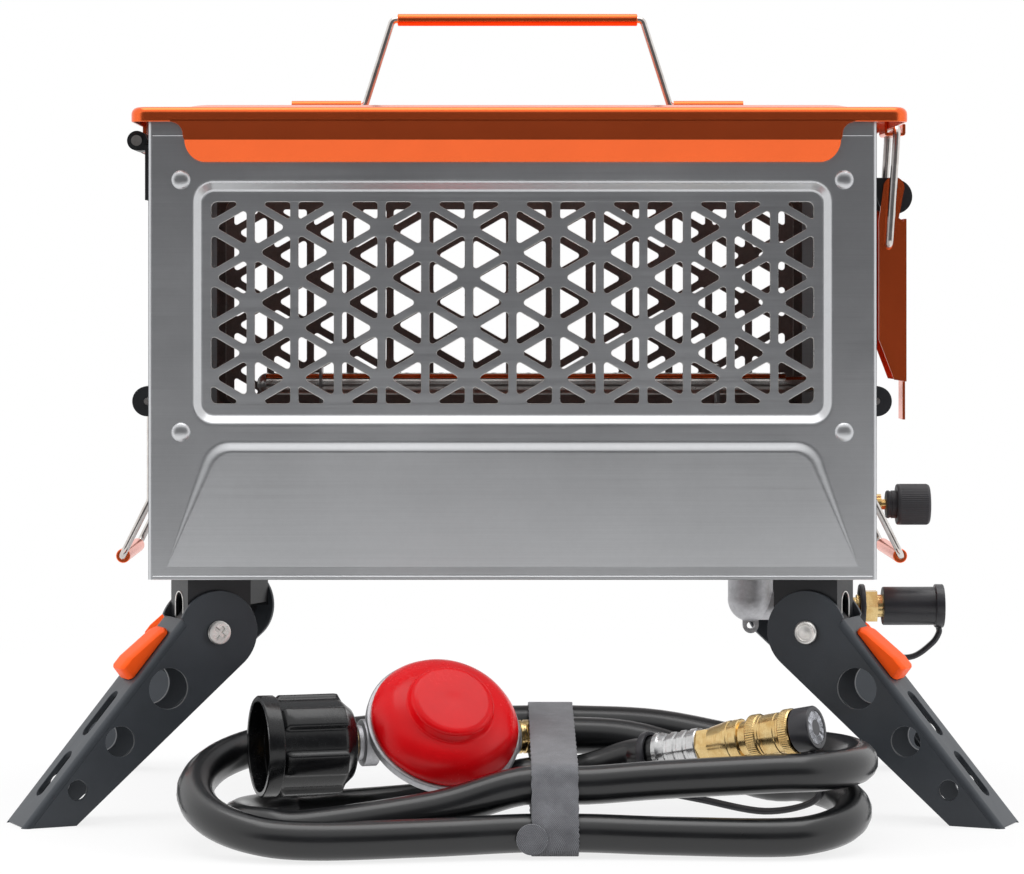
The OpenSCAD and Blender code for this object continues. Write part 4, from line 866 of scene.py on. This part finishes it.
def leg_button(name, place):
    """Ramped push button with rounded sides, its stem, and the lock tongue behind the leg."""
    made = Piece()
    seat, tongue_top = LEG_WEB + 0.3, LEG_WEB - LEG_T - 0.3
    from_a, mid, half = 15, 18, 10
    ramp = [
        (0.3, 0), (35.7, 0), (36, 1), (34.4, 8.2), (33.2, 9),
        (27, 9), (25.5, 8.7), (3.5, 4.2), (0.4, 2.4), (0, 1),
    ]
    rows = []
    for side, order in ((-1, range(6)), (1, range(5, -1, -1))):
        for k in order:
            turned_in = radians(12 * k)
            v, pull = side * half * cos(turned_in), 3.4 * (1 - sin(turned_in))
            rows.append([
                (from_a + mid + (a - mid) * (1 - pull / 18), v, seat + h * (1 - pull / 14))
                for a, h in ramp
            ])
    made.loft(rows, place, 0, BOTH)
    stem = (25.5, 34.5), (tongue_top - 2, seat + 0.5)
    tongue = (-8, 27), (tongue_top - 2, tongue_top)
    for (a0, a1), heights in (stem, tongue):
        outline = [(a0, -4.5), (a1, -4.5), (a1, 4.5), (a0, 4.5)]
        made.loft([[(a, v, b) for a, v in outline] for b in heights], place, 1, BOTH)
    finishes = [ORANGE_PLASTIC, BLACK_METAL]
    made.finish(name + "_cap", finishes, "orange", name, name, bevel=0.5, segments=2)


for end_name, end in (("front", -1), ("rear", 1)):
    for side_name, side in (("left", -1), ("right", 1)):
        tail = end_name + "_" + side_name
        at = leg_place(side, end)
        leg_shell("leg_" + tail, at)
        leg_button("button_" + tail, at)
        stand = at @ turn(-LEG_ANGLE, "Y")
        # A thin bright wire round each bracket's arched slot: a painted highlight on the slot's
        # edge
        arch = [(6, 3), *((y, 16 + z) for y, z in arc(6, 0, 180, 18)), (-6, 3)]
        arch = [stand @ Vector((17, y, z)) for y, z in arch]
        strand("bracket_slot_highlight_" + tail, arch, 0.4, BRIGHT_STEEL_AND_HIGHLIGHT, "bright_wire", "body")


def bolt_heads():
    """Round bolt heads with a cross recess at one end and a dimpled rivet end at the other."""
    made = Piece()
    arm, reach, seat = 0.9, 3.6, 16.2
    cross = []
    for q in range(4):
        for x, y in ((arm, arm), (reach, arm), (reach, -arm)):
            cross.append((turn(-90 * q, "Z") @ Vector((x, y, 0))).xy)
    crossed = [(seat, 4), (seat, 6.2), (16.5, 6.5), (17.2, 6.5), (17.5, 5.6), (17.5, 0)]
    dimpled = [
        (seat, 4), (seat, 6.3), (16.5, 6.6), (17.2, 6.6), (18, 6.2), (18.5, 5.5), (18.4, 4.7),
        (17.7, 4.2), (17.6, 3.6), (17.8, 2), (17.9, 0),
    ]
    for side in (-1, 1):
        for end in (-1, 1):
            at = leg_place(side, end) @ turn(-90, "X")
            made.lathe([(-seat, 4), (seat, 4)], at, 32)
            made.lathe(crossed, at, 40)
            made.plate(circle(0, 0, 6.4), [cross], 1.4, at @ move(0, 0, 17.9), 0.45)
            made.lathe(dimpled, at @ turn(180, "X"), 40)
    made.finish("leg_bolt_heads", BRIGHT_STEEL_AND_HIGHLIGHT, "bright_wire", "body", "leg_bolts")


bolt_heads()

# CAD nodes that keep their shape: finish, width of the soft edges and steps across them
for finish, bevel, segments, names in (
    (STEEL, 0.5, 2, "left_wall right_wall"),
    (STEEL, 0.3, 2, "rim_frame"),
    (TRAY, 0.3, 2, "floor_pan heat_shield burner_brackets"),
    (BRIGHT_STEEL_AND_HIGHLIGHT, 0.3, 2, "floor_screws"),
    (POLISHED, 0, 0, "feed_pipe"),
    (BRASS, 0, 0, "supply_pipe"),
    (BRASS, 0.5, 2, "gas_valve"),
    (BRASS, 0.3, 2, "gas_pipe valve_stem gas_inlet"),
    (ZINC, 0.8, 3, "gas_manifold"),
    (ORANGE, 0.5, 3, "handle_clips"),
    (ORANGE, 0.35, 2, "latch_lever"),
    (PLATED, 0.3, 2, "latch_pin hinge_pin"),
    (BLACK_METAL, 0.4, 2, "latch_bracket hinge_leaf"),
    (BLACK_METAL, 0.8, 3, "handle_saddles"),
    (BLACK_METAL, 0.35, 2, "leg_brackets"),
):
    for name in names.split():
        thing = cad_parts[name]
        thing.data.materials.clear()
        thing.data.materials.append(finish)
        if bevel:
            soften(thing, bevel, segments)

# Burner: polished tube with a row of ports and a domed end
burner = Piece()
profile = [(-x, y) for x, y in arc(BURNER_R, 0, 90, 10)]
profile += [(BURNER_LONG, BURNER_R), (BURNER_LONG, 5.2), (BURNER_LONG - 8, 5.2)]
burner.lathe(profile, along((BURNER_X, 0, BURNER_Z), (1, 0, 0)), 48)
for k in range(PORTS):
    burner.lathe(
        [(6.1, 1.5), (6.36, 1.5), (6.4, 1.2), (6.0, 0.9), (5, 0.9)],
        along((BURNER_X + PORT_STEP * (k + 1), 0, BURNER_Z), (0, 0, 1)), 16,
    )
burner.finish("burner_pipe", POLISHED, "burner", "body", "burner_tube")


# Knob
def knurl(z, a, r):
    return r - (0.3 * (0.5 + 0.5 * cos(60 * a)) if 2.2 < z < 17.4 else 0)


Piece().lathe([
    (-6, 3.06), (-6, 7.4), (-5.4, 8), (-4.2, 8), (-4.0, 7.6), (-3.2, 7.6), (-3, 8), (0, 8),
    (0, 11.2), (0.5, 11.7), (2, 11.8), (2.3, 11.8), (17.3, 11.8), (17.6, 11.7), (18.6, 11.2),
    (19, 10.4), (19, 6), (18.6, 5.6), (18.6, 0),
], along((KNOB_X, 0, VALVE_Z), (1, 0, 0)), 240, 0, knurl).finish(
    "control_knob", KNOB_BLACK, "black_plastic", "knob", "valve_knob", sharp=45
)

# Gas inlet's cap and its tether
Piece().lathe([
    (27, 6.85), (0, 6.85), (0, 10.6), (0.5, 11), (29.6, 11), (29.9, 11.2), (30, 12.1),
    (30.4, 12.5), (34.6, 12.5), (35, 12.1), (35, 3), (34.5, 2.4), (34.5, 0),
], along((CAP_X, 0, INLET_Z), (1, 0, 0))).finish(
    "inlet_dust_cap", BLACK_RUBBER, "black_rubber", "inlet_cap", "inlet_cap", sharp=45
)
low = INLET_Z - 11 - 1.6
RING_X, CAP_END = BODY_W / 2 + 0.6, 246.5
cap_line = flowing([
    (RING_X + 1.5, 0, INLET_Z - 11.2), (RING_X + 1.5, 0, INLET_Z - 14.4), (RING_X + 7, 0, low - 10),
    (RING_X + 18, 0, low - 16), (RING_X + 31, 0, low - 16.5), (CAP_END - 4, 0, low - 9),
    (CAP_END, 0, low - 3), (CAP_END, 0, low),
], 8)


def flat_tether(name, line, across, wide, thick, ring, ring_r, ring_w, body, node):
    """Moulded strap along a line, its width along across, with the ring that it hangs from."""
    made = Piece()
    rings = []
    for i, p in enumerate(line):
        t = (line[min(i + 1, len(line) - 1)] - line[max(i - 1, 0)]).normalized()
        n = t.cross(across).normalized()
        loop = rect(wide, thick, thick * 0.45, 0, 0, 3)
        rings.append([tuple(p + across * q[0] + n * q[1]) for q in loop])
    made.loft(rings, None, 0, BOTH)
    inner, outer = ring_r
    made.loft([
        [(*p, z) for p in circle(0, 0, r, 48)]
        for r, z in (
            (inner, 0.4), (inner + 0.4, 0), (outer - 0.5, 0), (outer, 0.5), (outer, ring_w - 0.5),
            (outer - 0.5, ring_w), (inner + 0.4, ring_w), (inner, ring_w - 0.4),
        )
    ], ring, 0, closed=True)
    made.finish(name, BLACK_RUBBER, "black_rubber", body, node, sharp=45)


flat_tether(
    "inlet_cap_tether", cap_line, Vector((0, 1, 0)), 5, 3.2,
    along((RING_X, 0, INLET_Z), (1, 0, 0)), (10.45, 12.6), 3, "inlet_cap", "cap_tether",
)

# Regulator
face_at = along(PORT, FACE_DIR, PORT_DIR)
port_at = along(PORT, PORT_DIR, FACE_DIR)
Piece().lathe([
    (14, 36), (14, 39.4), (14.6, 40), (16.8, 40), (18.2, 39.6), (19.4, 38.7), (22.6, 36.7),
    (25.4, 33.9), (27.6, 30.6), (29.1, 27.3), (29.8, 24.6), (30.2, 23.6), (31, 23.0), (34.6, 22.6),
    (36, 21.8), (36.8, 20.2), (37, 18.5), (37, 6), (36.8, 4), (36.8, 0),
], face_at, 96).finish("regulator_cap", RED, "red_cover", "hose_set", "regulator_cover", sharp=50)
housing = Piece().lathe([
    (-10, 0), (-10, 14), (-9.3, 15.6), (-8, 16.8), (0, 25), (6.5, 33.5), (7.6, 35), (8.6, 38.5),
    (9, 41.2), (9.6, 42), (13.2, 42), (13.9, 41.4), (14, 40), (14, 0),
], face_at, 96)
for spin in (35, 145, 215, 325):
    boss = face_at @ turn(spin, "Z") @ move(31, 0, 0)
    housing.lathe([(2, 4.6), (8.6, 5), (8.8, 4.4), (8.8, 0)], boss, 24)
housing.lathe([
    (-46, 8.2), (-46, 9.1), (-45.6, 9.5), (-43.5, 9.5), (-43, 12), (-42.5, 12.5), (-35.5, 12.5),
    (-35, 12), (-34.6, 9.5), (-20, 10), (0, 15), (20, 10.4), (30, 9.5), (43.5, 9.5), (44, 9),
    (44, 0),
], port_at, 48)
housing.finish("regulator_housing", ZINC, "zinc", "hose_set", "regulator_base", sharp=50)
Piece().lathe([
    (44, 0), (44, 8.6), (44.4, 9), (45.8, 9), (46.2, 8.5), (47.4, 8.5), (47.8, 9), (51.6, 9),
    (OUTLET, 8.6), (OUTLET, 0),
], port_at, 48).finish("hose_crimp_regulator", BRASS, "brass", "hose_set", "hose_outlet")


# Cylinder nut: lobed grip, thin mouth and the brass nose inside
def lobes(z, a, r):
    if r < 23.8 or not 3 < z < 41:
        return r
    fade = smooth((z - 3) / 4) * smooth((41 - z) / 3)
    return r + fade * 2.4 * smooth((cos(6 * a) + 0.25) / 0.6)


nut_at = along(PORT - NUT_BACK * PORT_DIR, -PORT_DIR, FACE_DIR)
Piece().lathe([
    (0, 8.06), (0, 17.5), (0.5, 18.6), (2, 19.8), (5, 22.4), (7, 23.9),
    *((z, 24.2) for z in (8.5, 12, 20, 30, 35, 38, 39.5, 40.8)),
    (41.2, 25.2), (41.6, 26.3), (42.2, 26.7), (49.2, 26.7), (50, 26), (50, 24), (49.4, 23.5),
    (41, 23.5), (41, 22), (10, 22), (10, 8.06),
], nut_at, 192, 0, lobes).finish(
    "cylinder_nut", BLACK_PLASTIC, "black_plastic", "nut", "qcc_nut", sharp=45
)
Piece().lathe([
    (-3, 0), (-3, 8), (24, 8), (24.6, 7.6), (27, 7.6), (27.6, 8), (30.6, 8), (31, 7.8), (36, 6),
    (39.4, 5.2), (40, 4.6), (40, 2.6), (34, 2.4), (34, 0),
], nut_at, 48).finish("cylinder_nose", BRASS, "brass", "hose_set", "qcc_nipple")

# Coupler at the far end of the hose
couple_at = along(COUPLER, COUPLER_DIR, COUPLER_SIDE)


def crimped(z, a, r):
    return r - (0.45 * abs(sin(4 * a)) if 4 < z < 24 and r > 9 else 0)


Piece().lathe([
    (0, 0), (0, 10.6), (0.4, 11), (2.6, 11), (3, 10.4), (3.8, 10), (6.4, 10), (7, 9.3), (8.6, 9.3),
    (9.2, 10), (12.4, 10), (13, 9.3), (14.6, 9.3), (15.2, 10), (18.4, 10), (19, 9.3), (20.6, 9.3),
    (21.2, 10), (25.4, 10), (26, 9.5), (26, 0),
], couple_at, 96, 0, crimped).finish(
    "hose_crimp_coupler", CRIMP, "zinc", "hose_set", "hose_ferrule"
)
core = Piece()
core.lathe([(26, 0), (26, 9.5), (26.8, 10), (32.2, 10), (33, 9.5), (33, 0)], couple_at, 6)
core.lathe([
    (33, 0), (33, 9.2), (34, 9.4), (41.5, 10.6), (43, 11), (45, 11), (45.4, 10.5), (46.8, 10.5),
    (47.2, 11), (51, 11), (51.5, 10.5), (51.5, 9.5), (82.1, 9.5), (82.5, 9), (82.5, 6.15),
    (69.8, 6.15), (69.8, 0),
], couple_at)
core.finish("coupler_core", BRASS, "brass", "hose_set", "coupler_body")


def sleeve_grip(z, a, r):
    knurled = r > 11.7 and (0.8 < z < 5.2 or 19.8 < z < 24.2)
    return r + (0.2 * cos(60 * a) if knurled else 0)


Piece().lathe([
    (0, 9.56), (0, 11.3), (0.6, 11.8), (0.9, 11.8), (5.1, 11.8), (5.4, 11.7), (6, 11), (7, 11),
    (7.4, 10.6), (8.6, 10.6), (9, 11), (16, 11), (16.4, 10.6), (17.6, 10.6), (18, 11), (19, 11),
    (19.6, 11.7), (19.9, 11.8), (24.1, 11.8), (24.4, 11.7), (25, 11.2), (25, 9.8), (25, 9.56),
], couple_at @ move(0, 0, SLEEVE_AT), 240, 0, sleeve_grip).finish(
    "coupler_slide", BRASS, "brass", "sleeve", "coupler_sleeve"
)
plug = Piece()
plug_at = couple_at @ move(0, 0, PLUG_AT)
plug.lathe([
    (-10, 0), (-10, 5.4), (-9.4, 6), (0, 6), (0, 11), (0.5, 11.5), (10.3, 11.5), (11, 10.8),
    (11, 9.2), (10.6, 8.8),
], plug_at)
plug.lathe([(10.6, 8.8), (10.6, 4.2), (10.2, 3.5), (5.5, 3.3), (5, 3), (5, 0)], plug_at, 64, 1)
finishes = [BLACK_RUBBER, PLUG_GREY]
plug.finish("coupler_dust_plug", finishes, "black_rubber", "plug", "coupler_plug", sharp=45)
ring_low = COUPLER - 6 * COUPLER_DIR - 11.4 * COUPLER_UP
plug_low = COUPLER + 88.8 * COUPLER_DIR - 11.8 * COUPLER_UP
sag = [
    (-1.8, 2, -19.6), (21.7, -6, -23.6), (54.2, -18, -28.1),
    (78.2, -30, -21.6), (83.2, -36, -9.6), (78.2, -42.5, 0.4),
]
sag = [COUPLER + Vector(p) for p in sag]
plug_line = flowing([ring_low, ring_low - 4 * COUPLER_UP, *sag, plug_low], 8)
flat_tether(
    "coupler_plug_tether", plug_line, COUPLER_SIDE, 5, 3.4,
    couple_at @ move(0, 0, -8), (10.3, 12.5), 4, "hose_set", "plug_tether",
)


# Strap round the hank
def strap_loop():
    """Outline of the strap in (y, z): the hull of the hose runs that it holds, a little slack."""
    runs = [(-234, 12), (-222, 35), (-107, 53), (-131.6, 49.4), (-149.5, 30.5)]
    hold = HOSE_R + STRAP_SLACK
    points = []
    for y, z in runs:
        for a in (2 * pi * k / 60 for k in range(60)):
            points.append((y + hold * cos(a), z + hold * sin(a)))
    points.sort()

    def chain(seq):
        out = []
        for p in seq:
            while len(out) > 1:
                (ax, ay), (bx, by) = out[-2], out[-1]
                if (bx - ax) * (p[1] - ay) - (by - ay) * (p[0] - ax) > 0:
                    break
                out.pop()
            out.append(p)
        return out[:-1]

    hull = chain(points) + chain(points[::-1])
    fine = []
    for (ay, az), (by, bz) in zip(hull, hull[1:] + hull[:1]):
        n = max(1, round(hypot(by - ay, bz - az) / 4))
        fine += [(ay + (by - ay) * k / n, az + (bz - az) * k / n) for k in range(n)]
    return fine


def strap():
    """Flat band round the loop with finely notched edges, and its round tab."""
    loop = strap_loop()
    made = Piece()
    n = len(loop)
    half = STRAP_HALF
    for push, flip in ((0.1, True), (0.95, False)):
        rings = []
        for x in (-half, 0.4 - half, -8, -4, 0, 4, 8, half - 0.4, half):
            at_edge = abs(x) > half - 0.2
            lift = push - (0.3 if at_edge and push > 0.5 else 0)
            ring = []
            for i, (y, z) in enumerate(loop):
                (ay, az), (by, bz) = loop[i - 1], loop[(i + 1) % n]
                t = Vector((by - ay, bz - az)).normalized()
                notch = 0.25 * (1 - 2 * (i % 2)) if at_edge else 0
                ring.append((STRAP_X + x + notch, y + t.y * lift, z - t.x * lift))
            rings.append(ring)
        made.loft(rings[::-1] if flip else rings)
    made.plate(circle(STRAP_X - half, 10.5, 8), [], 1.4, move(0, -245.9, 0) @ STAND, 0.4)
    made.finish("hank_strap", STRAP, "strap", "hose_set", "hose_strap", sharp=60)


strap()

tuple(hose_line[0] * MM)


# Studio: a round white floor that fades into the white world, soft light from above and both sides
FLOOR_R, FLOOR_STEPS, AIM = 1050, 96, Vector((0, 0, 0.2))


def rays(field):
    """Two shares: of what the camera sees straight, and of what it sees in metal or glass."""
    kinds = ("Is Camera Ray", "Is Glossy Ray", "Is Transmission Ray")
    straight, glossy, through = (field.make("ShaderNodeLightPath", None, kind) for kind in kinds)
    return straight, (glossy + through).ramp(0, 1)


# The floor is matte to the light, and nearly white to the camera, with the shadow left in
f = Finish("white_floor", Base_Color=(0.86, 0.86, 0.86), Roughness=0.9)
x, y = f.axis("X"), f.axis("Y")
fade = (x * x + y * y).ramp(0.25, 1.0)
straight, glint = rays(f.field)
glow = f.field.make("ShaderNodeEmission", Color=(1, 1, 1, 1), Strength=1.0)
matte = Field(f.tree, f.shader.outputs[0])
share = (straight + glint).ramp(0, 1) * (fade * 0.2 + 0.8)
mix = f.field.make("ShaderNodeMixShader", _0=share, _1=matte, _2=glow)
f.tree.links.new(mix.socket, f.tree.nodes["Material Output"].inputs["Surface"])
mesh = bpy.data.meshes.new("floor")
ring = [(p[0] * MM, p[1] * MM, 0) for p in circle(0, 0, FLOOR_R, FLOOR_STEPS)]
mesh.from_pydata(ring, [], [list(range(FLOOR_STEPS))])
mesh.materials.append(f.material)
floor = bpy.data.objects.new("floor", mesh)
link(floor)


def lamp(name, place, size, power, mirrored=True):
    """Soft box aimed at the part; mirrored says whether metal shows it."""
    light = bpy.data.lights.new(name, "AREA")
    light.shape = "RECTANGLE"
    light.size, light.size_y = size
    light.energy = power
    thing = bpy.data.objects.new(name, light)
    thing.location = place
    thing.rotation_mode = "QUATERNION"
    thing.rotation_quaternion = (AIM - Vector(place)).to_track_quat("-Z", "Y")
    thing.visible_glossy = mirrored
    link(thing)


lamp("top_softbox", (0, 0.1, 2.2), (2.2, 1.6), 24)
for side, x in (("left", -2.0), ("right", 2.0)):
    lamp(side + "_softbox", (x, -0.5, 0.8), (1.0, 1.6), 26, False)

# World: white to the camera; what lights the part and shows in its metal is darker at the front
world = bpy.data.worlds.new("studio_world")
scene.world = world
world.use_nodes = True
sky = Field(world.node_tree, None)
direction = sky.make("ShaderNodeTexCoord", None, "Generated")
kind = "ShaderNodeSeparateXYZ"
level, height = (sky.make(kind, None, axis, Vector=direction) for axis in ("Y", "Z"))
front = (0 - level).ramp(0.35, 0.8) * height.ramp(0.4, 0.8, 1.0, 0.0)
shade = front.blend((0.70, 0.70, 0.71), (0.14, 0.14, 0.145))
straight, glint = rays(sky)
seen = (straight + glint * (1 - front)).ramp(0, 1).blend(shade, (1, 1, 1))
background = world.node_tree.nodes["Background"]
world.node_tree.links.new(seen.socket, background.inputs["Color"])
background.inputs["Strength"].default_value = 1.0
